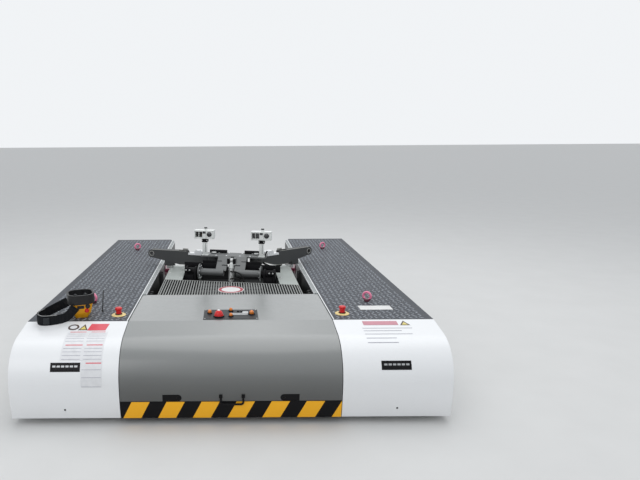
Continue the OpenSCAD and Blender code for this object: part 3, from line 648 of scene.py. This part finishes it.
class TRACTOR_OT_stage(bpy.types.Operator):
    """Sets the camera, the soft light and the pale floor"""

    bl_idname = "tractor.stage"
    bl_label = "Stage"

    def execute(self, context):
        camera_data = bpy.data.cameras.new("camera")
        camera_data.sensor_width = SENSOR_W
        camera_data.lens = FOCAL_PX / PICTURE_W * SENSOR_W
        camera_data.shift_x = 0.5 - CENTRE_PX / PICTURE_W
        camera = bpy.data.objects.new("camera", camera_data)
        context.scene.collection.objects.link(camera)
        camera.location = (0, NOSE_FRONT - CAMERA_DISTANCE, CAMERA_HEIGHT)
        camera.rotation_euler = (math.radians(90 - CAMERA_PITCH), math.radians(CAMERA_ROLL), 0)
        context.scene.camera = camera

        deselect()
        bpy.ops.mesh.primitive_plane_add(size=300)
        floor = context.object
        floor.name = "floor"
        ground = Finish("pale_floor", (0.62, 0.62, 0.61), 0.9)
        grain = ground.noise(3.0, detail=5.0)
        ground.feed("Base Color", grain.mix((0.60, 0.60, 0.59), (0.65, 0.65, 0.64)))
        floor.data.materials.append(ground.material)

        world = bpy.data.worlds.new("soft_sky")
        context.scene.world = world
        world.use_nodes = True
        back = world.node_tree.nodes["Background"]
        sky = Wire(world.node_tree, back.outputs[0])
        back.inputs["Color"].default_value = (0.93, 0.96, 1.0, 1.0)
        back.inputs["Strength"].default_value = 0.80
        seen = sky.node("ShaderNodeBackground", {}, {"Color": (0.88, 0.90, 0.92), "Strength": 1.0})
        camera_ray = sky.node("ShaderNodeLightPath", output="Is Camera Ray")
        glossy_ray = sky.node("ShaderNodeLightPath", output="Is Glossy Ray")
        through_ray = sky.node("ShaderNodeLightPath", output="Is Transmission Ray")
        backdrop = camera_ray.math("MAXIMUM", glossy_ray).math("MAXIMUM", through_ray)
        mixed = sky.node("ShaderNodeMixShader", {}, {0: backdrop, 1: sky, 2: seen})
        world.node_tree.links.new(mixed.socket, world.node_tree.nodes["World Output"].inputs[0])

        for name, place, size, power in (
            ("sky_panel", (0.5, 0.5, 6.0), 7.0, 190.0),
            ("front_panel", (-3.5, -6.5, 4.0), 4.0, 60.0),
        ):
            lamp_data = bpy.data.lights.new(name, "AREA")
            lamp_data.size = size
            lamp_data.energy = power
            lamp = bpy.data.objects.new(name, lamp_data)
            context.scene.collection.objects.link(lamp)
            lamp.location = place
            aim = Vector((0, 0, 0.3)) - Vector(place)
            lamp.rotation_euler = aim.to_track_quat("-Z", "Y").to_euler()
        context.scene.view_settings.view_transform = "Standard"
        return {"FINISHED"}


class TRACTOR_OT_paint(bpy.types.Operator):
    """Gives each rigid part of the frame its finish"""

    bl_idname = "tractor.paint"
    bl_label = "Paint the frame"

    def execute(self, context):
        colors = context.scene.tractor_finish
        paint("white_paint", colors.white, roughness=0.32, coat=0.35, dust=0.12, wear=0.12)
        # The grey hood is painted darker low on its front: painted shade.
        paint(
            "grey_paint", colors.grey, roughness=0.32, coat=1.0, dust=0.05, wear=0.08,
            regions=((hood_front_painted_shade, shade(colors.grey, 0.29)),),
        )
        # Pale paint between the pods, below the decks, is painted near black as painted shade.
        # The rails' top edges get a pale painted highlight.
        paint(
            "pale_paint", colors.pale, roughness=0.45, dust=0.2, wear=0.3,
            regions=((bay_painted_shade, (0.020, 0.021, 0.022)), (on_rail, (0.23, 0.25, 0.25)),
                     (rail_edge_painted_highlight, (0.74, 0.75, 0.76))),
        )
        deck_paint("deck_plate", colors.deck)
        paint("dark_steel", colors.dark, roughness=0.5, coat=0.05, dust=0.12, wear=0.3)
        paint(
            "black_paint", (0.008, 0.008, 0.009), roughness=0.5, coat=0.0, dust=0.0, wear=0.1, specular=0.1
        )
        paint("stripe_yellow", colors.yellow, roughness=0.55, coat=0.0, dust=0.0, wear=0.15)
        # Pink rings between the pods, below the decks, are painted dark as painted shade.
        paint(
            "pink_paint", colors.pink, roughness=0.3, coat=0.5, dust=0.05,
            regions=((on_ring_base, (0.10, 0.012, 0.030)), (bay_painted_shade, (0.26, 0.040, 0.085))),
        )
        plastic("lamp_black", (0.006, 0.006, 0.007), roughness=0.25, coat=0.05, specular=0.15)
        plastic("amber", (0.75, 0.20, 0.015), roughness=0.22, coat=0.6)
        plastic("red_plastic", (0.64, 0.016, 0.018), roughness=0.25, coat=0.3, specular=0.3)
        # The pale yellow on the stops' collars is a painted highlight.
        plastic(
            "yellow_plastic", (0.88, 0.40, 0.012), roughness=0.4, specular=0.3,
            regions=((on_guard, (0.010, 0.010, 0.011)), (collar_painted_highlight, (0.80, 0.62, 0.26))),
        )
        plastic("panel_dark", (0.016, 0.019, 0.022), roughness=0.4, specular=0.25)
        rubber("rubber", (0.018, 0.018, 0.019))
        paint("rim_paint", (0.36, 0.37, 0.38), dust=0.35, wear=0.4)
        # Below the grating's top the galvanised colour is near black as painted shade.
        metal(
            "galvanised", (0.135, 0.14, 0.14), roughness=0.45, metallic=0.3, spangle=0.25,
            regions=((on_covers, (0.39, 0.42, 0.40)), (on_grating, (0.28, 0.29, 0.28)),
                     (grating_gap_painted_shade, (0.018, 0.018, 0.018))),
        )
        metal("machined", (0.56, 0.57, 0.56), roughness=0.35, metallic=0.4)
        metal("aluminium", (0.80, 0.82, 0.80), roughness=0.4, metallic=0.1)
        woven("belt", (0.010, 0.011, 0.013))
        # The trim colour covers the arms' eye rings and lugs, and the pale tubes that are painted
        # highlights along the arms' edges.
        paint("trim", (0.32, 0.32, 0.30), roughness=0.45, dust=0.1, wear=0.3)
        plastic("label_grey", (0.45, 0.45, 0.44), roughness=0.5, coat=0.0)
        for part in frame["record"]["subparts"]:
            mesh = nodes[part["node"]].data
            mesh.materials.clear()
            mesh.materials.append(materials[part["material_slot"]])
        return {"FINISHED"}


class TRACTOR_OT_tread(bpy.types.Operator):
    """Covers both decks with raised lugs that lie crosswise in turn"""

    bl_idname = "tractor.tread"
    bl_label = "Deck tread"

    def execute(self, context):
        sizes = context.scene.tractor_sizes
        low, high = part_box("deck_right")
        margin = 0.012
        pitch = sizes.lug_pitch
        deselect()
        bpy.ops.mesh.primitive_cone_add(vertices=6, radius1=0.5, radius2=0.3, depth=1.0)
        lug = context.object
        lug.scale = (sizes.lug_length, sizes.lug_length * 0.27, sizes.lug_height)
        lug.rotation_euler = (0, 0, math.radians(45))
        applied()
        across = copied(lug, (pitch, 0, 0), math.radians(90))
        cell = joined([lug, copied(lug, (pitch, pitch, 0)), across, copied(across, (-pitch, pitch, 0))])
        columns = int((high.x - low.x - 2 * margin) / (2 * pitch))
        rows = int((high.y - low.y - 2 * margin) / (2 * pitch))
        row(cell, columns, (2 * pitch, 0, 0))
        row(cell, rows, (0, 2 * pitch, 0))
        placed(cell, (low.x + margin + pitch / 2, low.y + margin + pitch / 2,
                      DECK_TOP + sizes.lug_height / 2 - 0.0003))
        bpy.ops.object.mode_set(mode="EDIT")
        bpy.ops.mesh.select_all(action="SELECT")
        bpy.ops.mesh.bisect(
            plane_co=(low.x + margin, TAIL - 0.09, DECK_TOP), plane_no=(-0.93, 0.37, 0), clear_outer=True,
            use_fill=True,
        )
        bpy.ops.object.mode_set(mode="OBJECT")
        left = mirrored(cell)
        finished("tread_right", cell, "chassis", "deck_plate")
        finished("tread_left", left, "chassis", "deck_plate")
        return {"FINISHED"}


def round_outline(along):
    return math.sqrt(max(0.0, 1.0 - along**2))


def wedge_outline(along):
    return (along + 1.0) / 2.0


class TRACTOR_OT_labels(bpy.types.Operator):
    """Lays blank label sheets, blank signs, colour blocks and thin rules on the noses"""

    bl_idname = "tractor.labels"
    bl_label = "Blank labels"

    def execute(self, context):
        sheet = plastic("label_white", (0.74, 0.745, 0.76), roughness=0.35)
        red = plastic("label_red", (0.72, 0.085, 0.115), roughness=0.35)
        pale_red = plastic("label_pale_red", (0.56, 0.24, 0.29), roughness=0.35)
        yellow = plastic("label_yellow", (0.72, 0.60, 0.18), roughness=0.35)
        line = plastic("label_line", (0.34, 0.34, 0.40), roughness=0.4)
        border = plastic("label_border", (0.085, 0.060, 0.050), roughness=0.4)
        blanks = [
            nose_patch(-1.004, -0.756, 0.132, 0.372),
            nose_patch(-0.876, -0.752, 0.376, 0.530),
            nose_patch(-1.006, -0.961, 0.057, 0.101, lift=0.0014, outline=round_outline),
        ]
        finished("nose_labels", blanks, "chassis", "white_paint", sheet)
        reds = [nose_patch(-0.885, -0.772, 0.037, 0.121, lift=0.0010, slant=0.0055)]
        for x0, x1, run in (
            (-0.988, -0.889, 0.138), (-0.858, -0.771, 0.138), (-0.985, -0.883, 0.269),
            (-0.859, -0.764, 0.269), (-0.849, -0.758, 0.385),
        ):
            reds.append(nose_patch(x0, x1, run, run + 0.006, lift=0.0012))
        finished("label_bands", reds, "chassis", "red_plastic", red)
        heading = nose_patch(0.836, 1.054, 0.024, 0.074, lift=0.0012)
        finished("label_heading", heading, "chassis", "red_plastic", pale_red)
        borders = [
            nose_patch(-1.018, -0.949, 0.042, 0.116, lift=0.0010, outline=round_outline),
            nose_patch(-0.948, -0.889, 0.042, 0.116, lift=0.0010, outline=wedge_outline),
            nose_patch(1.064, 1.128, 0.020, 0.078, lift=0.0010, outline=wedge_outline),
        ]
        finished("label_borders", borders, "chassis", "black_paint", border)
        signs = [
            nose_patch(-0.937, -0.900, 0.064, 0.108, lift=0.0014, outline=wedge_outline),
            nose_patch(1.077, 1.115, 0.038, 0.072, lift=0.0014, outline=wedge_outline),
        ]
        finished("label_signs", signs, "chassis", "yellow_plastic", yellow)
        rules = []
        for x0, x1 in ((-0.995, -0.886), (-0.868, -0.762)):
            for run in (0.165, 0.190, 0.215, 0.240, 0.295, 0.318, 0.341, 0.364):
                rules.append(nose_patch(x0, x1, run, run + 0.002, lift=0.0012))
        for run in (0.425, 0.470, 0.525):
            rules.append(nose_patch(-0.872, -0.758, run, run + 0.002, lift=0.0012))
        for x1, run in ((1.128, 0.114), (1.054, 0.147), (1.109, 0.187), (1.001, 0.229), (1.004, 0.267)):
            rules.append(nose_patch(0.820, x1, run - 0.002, run + 0.002, lift=0.0010))
        finished("label_rules", rules, "chassis", "white_paint", line)
        return {"FINISHED"}


class TRACTOR_OT_signs(bpy.types.Operator):
    """Lays the blank round sign on the grating and the blank plate on the right deck"""

    bl_idname = "tractor.signs"
    bl_label = "Blank signs"

    def execute(self, context):
        face = plastic("sign_white", (0.72, 0.72, 0.71), roughness=0.4)
        rim = plastic("sign_red", (0.37, 0.020, 0.040), roughness=0.4)
        place = (0.005, -0.5375, GRATING)
        finished("sign_face", disc(place, 0.101, 0.0016, sides=64), "carriage", "white_paint", face)
        profile = [(0.095, 0.0010), (0.095, 0.0022), (0.094, 0.0024), (0.074, 0.0024), (0.073, 0.0010)]
        finished("sign_rim", turned(place, profile, 64), "carriage", "red_plastic", rim)
        plate = block((0.880, -1.114, DECK_TOP), (1.100, -1.022, DECK_TOP + 0.0035), 0.0008)
        finished("deck_plate_blank", plate, "chassis", "white_paint", face)
        return {"FINISHED"}


class TRACTOR_OT_lamps(bpy.types.Operator):
    """Sets reflector cells and a bar into each head lamp"""

    bl_idname = "tractor.lamps"
    bl_label = "Head lamps"

    def execute(self, context):
        mirror = metal("reflector", (0.40, 0.41, 0.42), roughness=0.25, metallic=0.6)
        low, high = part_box("head_lamps")
        runs = []
        for z in (high.z - 0.010, low.z + 0.010):
            lean = math.acos((z - NOSE_MIDDLE) / NOSE_RADIUS)
            runs.append(NOSE_FLAT + NOSE_RADIUS * (lean - NOSE_SLOPE))
        top, middle = runs[0] + 0.004, (runs[0] + runs[1]) / 2
        pitch, width = 0.0257, 0.0190
        cells = []
        for k in range(6):
            x = high.x - 0.011 - k * pitch
            cells.append(nose_patch(x - width, x, top, middle, lift=-0.0030, thickness=0.001))
        bar = nose_patch(high.x - 0.164, high.x - 0.012, middle + 0.008, middle + 0.011, lift=-0.0025)
        right = joined(cells)
        finished("lamp_cells_left", mirrored(right), "chassis", "aluminium", mirror)
        finished("lamp_cells_right", right, "chassis", "aluminium", mirror)
        finished("lamp_bars", [bar, mirrored(bar)], "chassis", "lamp_black")
        return {"FINISHED"}


class TRACTOR_OT_hood(bpy.types.Operator):
    """Adds the plugs in the noses and latches and the rails' screws"""

    bl_idname = "tractor.hood"
    bl_label = "Plugs and screws"

    def execute(self, context):
        y, z = on_nose(NOSE_FLAT + NOSE_ARC + NOSE_MIDDLE - 0.100)
        spot = turned((0.980, y + 0.0005, z), [(0.006, 0), (0.006, 0.0012), (0.004, 0.002)], 20, "Y")
        finished("nose_plugs", [spot, mirrored(spot)], "chassis", "black_paint")
        place = ((BAY_HALF + RAIL_EDGE) / 2, HOOD_EDGE + 0.06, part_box("rails")[1].z - 0.0002)
        screw = turned(place, [(0.006, 0), (0.005, 0.0010), (0.003, 0.0012)], 16)
        row(screw, 9, (0, 0.26, 0))
        finished("rail_screws", [screw, mirrored(screw)], "chassis", "machined")
        low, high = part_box("hood_latches")
        middle = (low.z + high.z) / 2
        y = on_nose(NOSE_FLAT + NOSE_ARC + NOSE_MIDDLE - middle)[0]
        hole = high.x - 0.112 + (high.z - low.z) / 2
        plug = turned((hole, y + 0.001, middle), [(0.0085, 0), (0.0085, 0.0014), (0.007, 0.002)], 24, "Y")
        finished("latch_plugs", [plug, mirrored(plug)], "chassis", "black_paint")
        return {"FINISHED"}


class TRACTOR_OT_controls(bpy.types.Operator):
    """Fits the small controls on the hood's panel"""

    bl_idname = "tractor.controls"
    bl_label = "Panel controls"

    def execute(self, context):
        low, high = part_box("control_panel")
        top = high.z
        white = plastic("mark_white", (0.84, 0.85, 0.85), roughness=0.4)
        knob = (-0.076, low.y + 0.060)
        # The small white cap on the red beacon's top is a painted highlight; the white bars are panel
        # marks.
        marks = [turned((*knob, top + 0.0405), [(0.010, 0), (0.008, 0.003), (0.004, 0.0042)], 24)]
        for x0, x1, y0, y1 in (
            (0.005, 0.116, 0.092, 0.100), (0.005, 0.116, 0.114, 0.122), (0.080, 0.118, 0.134, 0.156),
        ):
            marks.append(block((x0, low.y + y0, top), (x1, low.y + y1, top + 0.0012)))
        finished("panel_marks_and_beacon_glint", marks, "chassis", "white_paint", white)
        bases = [ring((x, low.y + y, top + 0.003), radius, radius - 0.006, 0.007) for x, y, radius in (
            (-0.138, 0.125, 0.019), (0.003, 0.055, 0.018), (0.003, 0.172, 0.018), (0.140, 0.100, 0.024),
        )]
        bases.append(ring((*knob, top + 0.004), 0.038, 0.031, 0.008))
        bases += [disc((x, low.y + 0.160, top), 0.009, 0.006) for x in (0.052, 0.075)]
        finished("panel_bezels", bases, "chassis", "panel_dark", materials["lamp_black"])
        screws = [bolt((x, y, top), 0.0038) for x in (low.x + 0.010, high.x - 0.010)
                  for y in (low.y + 0.010, high.y - 0.010)]
        finished("panel_screws", screws, "chassis", "machined")
        low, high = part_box("stop_buttons")
        radius = (high.y - low.y) / 2
        seals = [ring((side * (high.x - radius), low.y + radius, DECK_TOP + 0.009), 0.0235, 0.0178, 0.006)
                 for side in (-1, 1)]
        finished("stop_seals", seals, "chassis", "rubber")
        return {"FINISHED"}


class TRACTOR_OT_heads(bpy.types.Operator):
    """Fits lenses, windows and caps to the sensor heads, and front strips to their posts"""

    bl_idname = "tractor.heads"
    bl_label = "Sensor heads"

    def execute(self, context):
        glass = plastic("sensor_glass", (0.010, 0.012, 0.016), roughness=0.08, coat=0.9)
        lenses, trim, grooves, bolts = [], [], [], []
        v, z = POST[1], HEAD_FOOT
        for side in (-1, 1):
            post = side * POST[0]
            u = post - HEAD_SHIFT
            lenses += [
                turned((u + 0.048, v - 0.024, z + 0.040),
                       [(0.0218, 0), (0.0215, 0.010), (0.017, 0.013), (0.009, 0.015)], 32, "Y"),
                block((u - 0.079, v + 0.014, z + 0.012), (u - 0.014, v + 0.0195, z + 0.062)),
                turned((u + 0.010, v, z + 0.0875), [(0.014, 0), (0.014, 0.010), (0.010, 0.013)], 28),
                block((u - 0.008, v - 0.0425, z + 0.048), (u + 0.018, v - 0.0395, z + 0.068), 0.001),
            ]
            trim += [
                block((u - 0.052, v - 0.020, z + 0.013), (u - 0.048, v + 0.014, z + 0.061), 0.001),
                block((post - 0.0205, v - 0.0180, PLATE_TOP + 0.010),
                      (post + 0.0205, v - 0.0148, z - 0.032), 0.001),
            ]
            for x in (-0.080, 0.080):
                for rise in (0.008, 0.066):
                    bolts.append(disc((u + x, v - 0.032, z + rise), 0.0032, 0.0015, "Y", 12))
            grooves.append(block((post + 0.006, v - 0.0186, PLATE_TOP + 0.030),
                                 (post + 0.009, v - 0.0178, z - 0.040)))
            for x in (-0.021, 0.021):
                bolts.append(bolt((post + x, v + 0.012, PLATE_TOP + 0.008), 0.004))
                bolts.append(bolt((post + x, v - 0.023, z - 0.015), 0.004, "Y"))
        finished("sensor_lenses", lenses, "yoke", "lamp_black", glass, at=on_yoke)
        finished("sensor_trim", trim, "yoke", "aluminium", at=on_yoke)
        finished("post_grooves", grooves, "yoke", "panel_dark", at=on_yoke)
        finished("sensor_bolts", bolts, "yoke", "machined", at=on_yoke)
        return {"FINISHED"}


class TRACTOR_OT_yoke(bpy.types.Operator):
    """Adds the yoke's bolts, pin caps, clevis cheeks, black sheets behind it as painted shade, and cover
    plates
    """

    bl_idname = "tractor.yoke"
    bl_label = "Yoke fittings"

    def execute(self, context):
        bolts, caps, cheeks, shade_sheets, covers, studs = [], [], [], [], [], []
        for side in (-1, 1):
            for k in range(8):
                turn = math.radians(22.5 + 45 * k)
                place = (side * FLANGE_FACE, FLANGE_BOLTS * math.cos(turn),
                         HINGE_HEIGHT + FLANGE_BOLTS * math.sin(turn))
                bolts.append(disc(place, 0.006, side * -0.005, "X", 12))
            for u, v in ((0.150, 0.125), (0.150, 0.245), (0.225, 0.200), (0.060, 0.245), (0.060, 0.130)):
                bolts.append(bolt((side * u, v, PLATE_TOP), 0.006))
            caps.append(disc((side * ARM_PIN[0], ARM_PIN[1], PLATE_TOP + 0.008), 0.022, 0.006, sides=32))
            cheeks.append(beside(side, (0.014, 0.046, 0.618), (0.037, 0.0525, 0.664), 0.002))
            cheeks.append(beside(side, (0.029, 0.030, 0.594), (0.081, 0.044, 0.612), 0.003))
            # Black sheets behind the yoke stand in for the shade there: painted shade.
            shade_sheets.append(beside(side, (0.085, 0.062, 0.556), (0.420, 0.066, 0.618), 0.001))
            shade_sheets.append(beside(side, (0.085, 0.0625, 0.616), (0.256, 0.0655, 0.640), 0.001))
            shade_sheets.append(beside(side, (0.100, 0.036, 0.560), (0.110, 0.064, 0.580), 0.001))
            covers.append(beside(side, (0.330, -0.058, 0.556), (0.384, -0.0455, 0.592), 0.002))
            covers.append(beside(side, (0.310, -0.0565, 0.440), (0.366, -0.0520, 0.530), 0.002))
            for u in (0.342, 0.372):
                studs.append(bolt((side * u, -0.058, 0.574), 0.005, "Y"))
            for v in (-0.034, 0.034):
                studs.append(bolt((side * 0.378, v, 0.412), 0.008))
        finished("yoke_bolts", bolts, "yoke", "white_paint", at=on_yoke)
        finished("pin_caps", caps, "yoke", "machined", at=on_yoke)
        finished("clevis_cheeks", cheeks, "yoke", "black_paint", at=on_yoke)
        finished("yoke_shade_sheets", shade_sheets, "yoke", "black_paint", at=on_yoke)
        finished("bracket_covers", covers, "turntable", "black_paint", at=on_yoke)
        finished("bracket_studs", studs, "turntable", "machined", at=on_yoke)
        lever = tube([(0.278, 0.150, 0.674), (0.280, 0.150, 0.700), (0.296, 0.142, 0.722)], 0.006)
        finished("plate_lever", lever, "yoke", "black_paint", at=on_yoke)
        return {"FINISHED"}


class TRACTOR_OT_arms(bpy.types.Operator):
    """Adds the arms' eye rings, pale tubes along their edges as painted highlights, lugs, bolts, pads and
    cords
    """

    bl_idname = "tractor.arms"
    bl_label = "Arm fittings"

    def execute(self, context):
        # Pale tubes along the arms' top and low edges are painted highlights.
        edge = ((0.258, 0.682), (0.300, 0.682), (0.420, 0.6805), (0.600, 0.678))
        low_edge_highlight = ((0.075, 0.600), (0.150, 0.572), (0.205, 0.5585), (0.260, 0.557), (0.330, 0.556))
        cord = ((0.236, 0.0, 0.666), (0.262, 0.004, 0.690), (0.300, 0.010, 0.686), (0.340, 0.012, 0.684))
        for side, name in ((-1, "left"), (1, "right")):
            near = -side
            body = f"{name}_arm"

            def on_this_arm(piece):
                return on_arm(piece, side)

            trim = [ring((0.605, face * 0.028, 0.640), 0.0245, 0.0185, 0.005, "Y") for face in (-1, 1)]
            trim += [
                tube([(d, near * 0.027, z) for d, z in edge], 0.0022, 8),
                tube([(d, near * 0.028, z) for d, z in low_edge_highlight], 0.0022, 8),
                block((0.262, -near * 0.024 - 0.006, 0.682), (0.312, -near * 0.024 + 0.006, 0.697), 0.002),
            ]
            finished(f"arm_trim_and_edge_highlights_{name}", trim, body, "pale_paint", materials["trim"], on_this_arm)
            bolts = [bolt((d, near * 0.016, 0.6943), 0.004) for d in (0.125, 0.165)]
            finished(f"arm_bolts_{name}", bolts, body, "machined", at=on_this_arm)
            pads = [block((0.396, -0.026, 0.536), (0.484, 0.026, 0.5418), 0.002),
                    tube([(d, near * v, z) for d, v, z in cord], 0.004, 8)]
            finished(f"arm_rubber_{name}", pads, body, "rubber", at=on_this_arm)
        return {"FINISHED"}


class TRACTOR_OT_ram(bpy.types.Operator):
    """Adds the tilt cylinder's port nuts and the sleeve on its rod"""

    bl_idname = "tractor.ram"
    bl_label = "Tilt cylinder"

    def execute(self, context):
        nuts = [turned((0.006, v, z), [(0.0095, 0), (0.0095, 0.010), (0.008, 0.012)], 6, "Y")
                for v, z in ((0.0275, 0.5585), (0.0175, 0.4995))]
        finished("port_nuts", nuts, "ram_barrel", "machined", at=on_yoke)
        sleeve = turned(
            (0, 0, 0.132), [(0.021, 0), (0.024, 0.002), (0.024, 0.044), (0.019, 0.048), (0.019, 0.053)], 40
        )
        finished("rod_sleeve", sleeve, "ram_rod", "machined", materials["aluminium"], on_ram)
        return {"FINISHED"}


class TRACTOR_OT_remote(bpy.types.Operator):
    """Adds the remote's levers, buttons and keys, and the belt's edging and clip"""

    bl_idname = "tractor.remote"
    bl_label = "Remote control"

    def execute(self, context):
        boot = [(0.018, 0), (0.015, 0.008), (0.007, 0.014)]
        knob = [(0.006, 0), (0.010, 0.003), (0.010, 0.010), (0.005, 0.014)]
        black = []
        for x in (-0.032, 0.032):
            black.append(turned((x, 0.008, 0.114), boot, 28))
            black.append(turned((x, 0.008, 0.138), knob, 24))
        black.append(disc((0.036, -0.066, 0.084), 0.015, 0.012, "Y", 28))
        black.append(block((-0.030, -0.071, 0.070), (0.014, -0.062, 0.092), 0.002))
        finished("remote_levers", black, "chassis", "panel_dark", at=on_remote)
        red = [turned((0.030, -0.059, 0.054), [(0.014, 0), (0.014, 0.008), (0.010, 0.012)], 28, "Y"),
               disc((0.052, -0.030, 0.1145), 0.009, 0.010)]
        finished("remote_buttons", red, "chassis", "red_plastic", at=on_remote)
        keys = [disc((-0.050 + k * 0.018, -0.040, 0.1145), 0.0055, 0.006, sides=16) for k in range(4)]
        keys.append(block((-0.020, 0.030, 0.1145), (0.020, 0.056, 0.1185), 0.001))
        finished("remote_keys", keys, "chassis", "white_paint", at=on_remote)
        path = ((-0.226, -0.020), (-0.250, -0.080), (-0.244, -0.138), (-0.214, -0.184), (-0.168, -0.193),
                (-0.110, -0.166))
        piping = [tube([(x, y + shift, 0.0606) for x, y in path], 0.0011, 8) for shift in (-0.0015, 0.0015)]
        finished("belt_piping", piping, "chassis", "white_paint", materials["label_grey"], on_belt)
        clip = block((-0.188, -0.202, 0.010), (-0.150, -0.188, 0.050), 0.003)
        finished("belt_clip", clip, "chassis", "panel_dark", at=on_belt)
        return {"FINISHED"}


class TRACTOR_OT_wheels(bpy.types.Operator):
    """Adds ribs to the tyres and nuts to the rims"""

    bl_idname = "tractor.wheels"
    bl_label = "Wheels"

    def execute(self, context):
        low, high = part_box("drive_tyre_right")
        middle = (low + high) / 2
        radius = (high.z - low.z) / 2
        circle = 0.068
        for side, name in ((1, "right"), (-1, "left")):
            x, y, z = side * middle.x, middle.y, middle.z
            ribs = [ring((x + shift, y, z), radius + 0.0015, radius - 0.010, 0.020, "X", 72)
                    for shift in (-0.054, -0.027, 0.0, 0.027, 0.054)]
            finished(f"tyre_ribs_{name}", ribs, f"{name}_drive_wheel", "rubber")
            nuts = []
            for k in range(8):
                turn = math.radians(45 * k + 15)
                place = (x + side * 0.022, y + circle * math.cos(turn), z + circle * math.sin(turn))
                nuts.append(disc(place, 0.008, side * 0.010, "X", 6))
            finished(f"rim_nuts_{name}", nuts, f"{name}_drive_wheel", "machined")
        return {"FINISHED"}


class TRACTOR_OT_covers(bpy.types.Operator):
    """Bolts the carriage's covers down"""

    bl_idname = "tractor.covers"
    bl_label = "Cover bolts"

    def execute(self, context):
        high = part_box("carriage_covers")[1]
        bolts = []
        for x in (0.425, high.x - 0.022):
            for y in (-0.155, 0.05, 0.20, high.y - 0.030):
                bolts.append(bolt((x, y, high.z), 0.007))
        right = joined(bolts)
        finished("cover_bolts", [right, mirrored(right)], "carriage", "machined")
        return {"FINISHED"}


class TRACTOR_PT_panel(bpy.types.Panel):
    """Lists the steps that build the tractor's look"""

    bl_idname = "TRACTOR_PT_panel"
    bl_label = "Pushback tractor"
    bl_space_type = "VIEW_3D"
    bl_region_type = "UI"
    bl_category = "Tractor"

    def draw(self, context):
        for step in STEPS:
            self.layout.operator(step.bl_idname)


STEPS = (
    TRACTOR_OT_stage, TRACTOR_OT_paint, TRACTOR_OT_tread, TRACTOR_OT_labels, TRACTOR_OT_signs,
    TRACTOR_OT_lamps, TRACTOR_OT_hood, TRACTOR_OT_controls, TRACTOR_OT_heads, TRACTOR_OT_yoke,
    TRACTOR_OT_arms, TRACTOR_OT_ram, TRACTOR_OT_remote, TRACTOR_OT_wheels, TRACTOR_OT_covers,
)
CLASSES = (TractorFinish, TractorSizes, *STEPS, TRACTOR_PT_panel)


def register():
    for cls in CLASSES:
        bpy.utils.register_class(cls)
    bpy.types.Scene.tractor_finish = bpy.props.PointerProperty(type=TractorFinish)
    bpy.types.Scene.tractor_sizes = bpy.props.PointerProperty(type=TractorSizes)


def unregister():
    del bpy.types.Scene.tractor_sizes
    del bpy.types.Scene.tractor_finish
    for cls in reversed(CLASSES):
        bpy.utils.unregister_class(cls)


def main():
    register()
    for step in STEPS:
        getattr(bpy.ops.tractor, step.bl_idname.split(".")[1])()


if __name__ == "__main__":
    main()
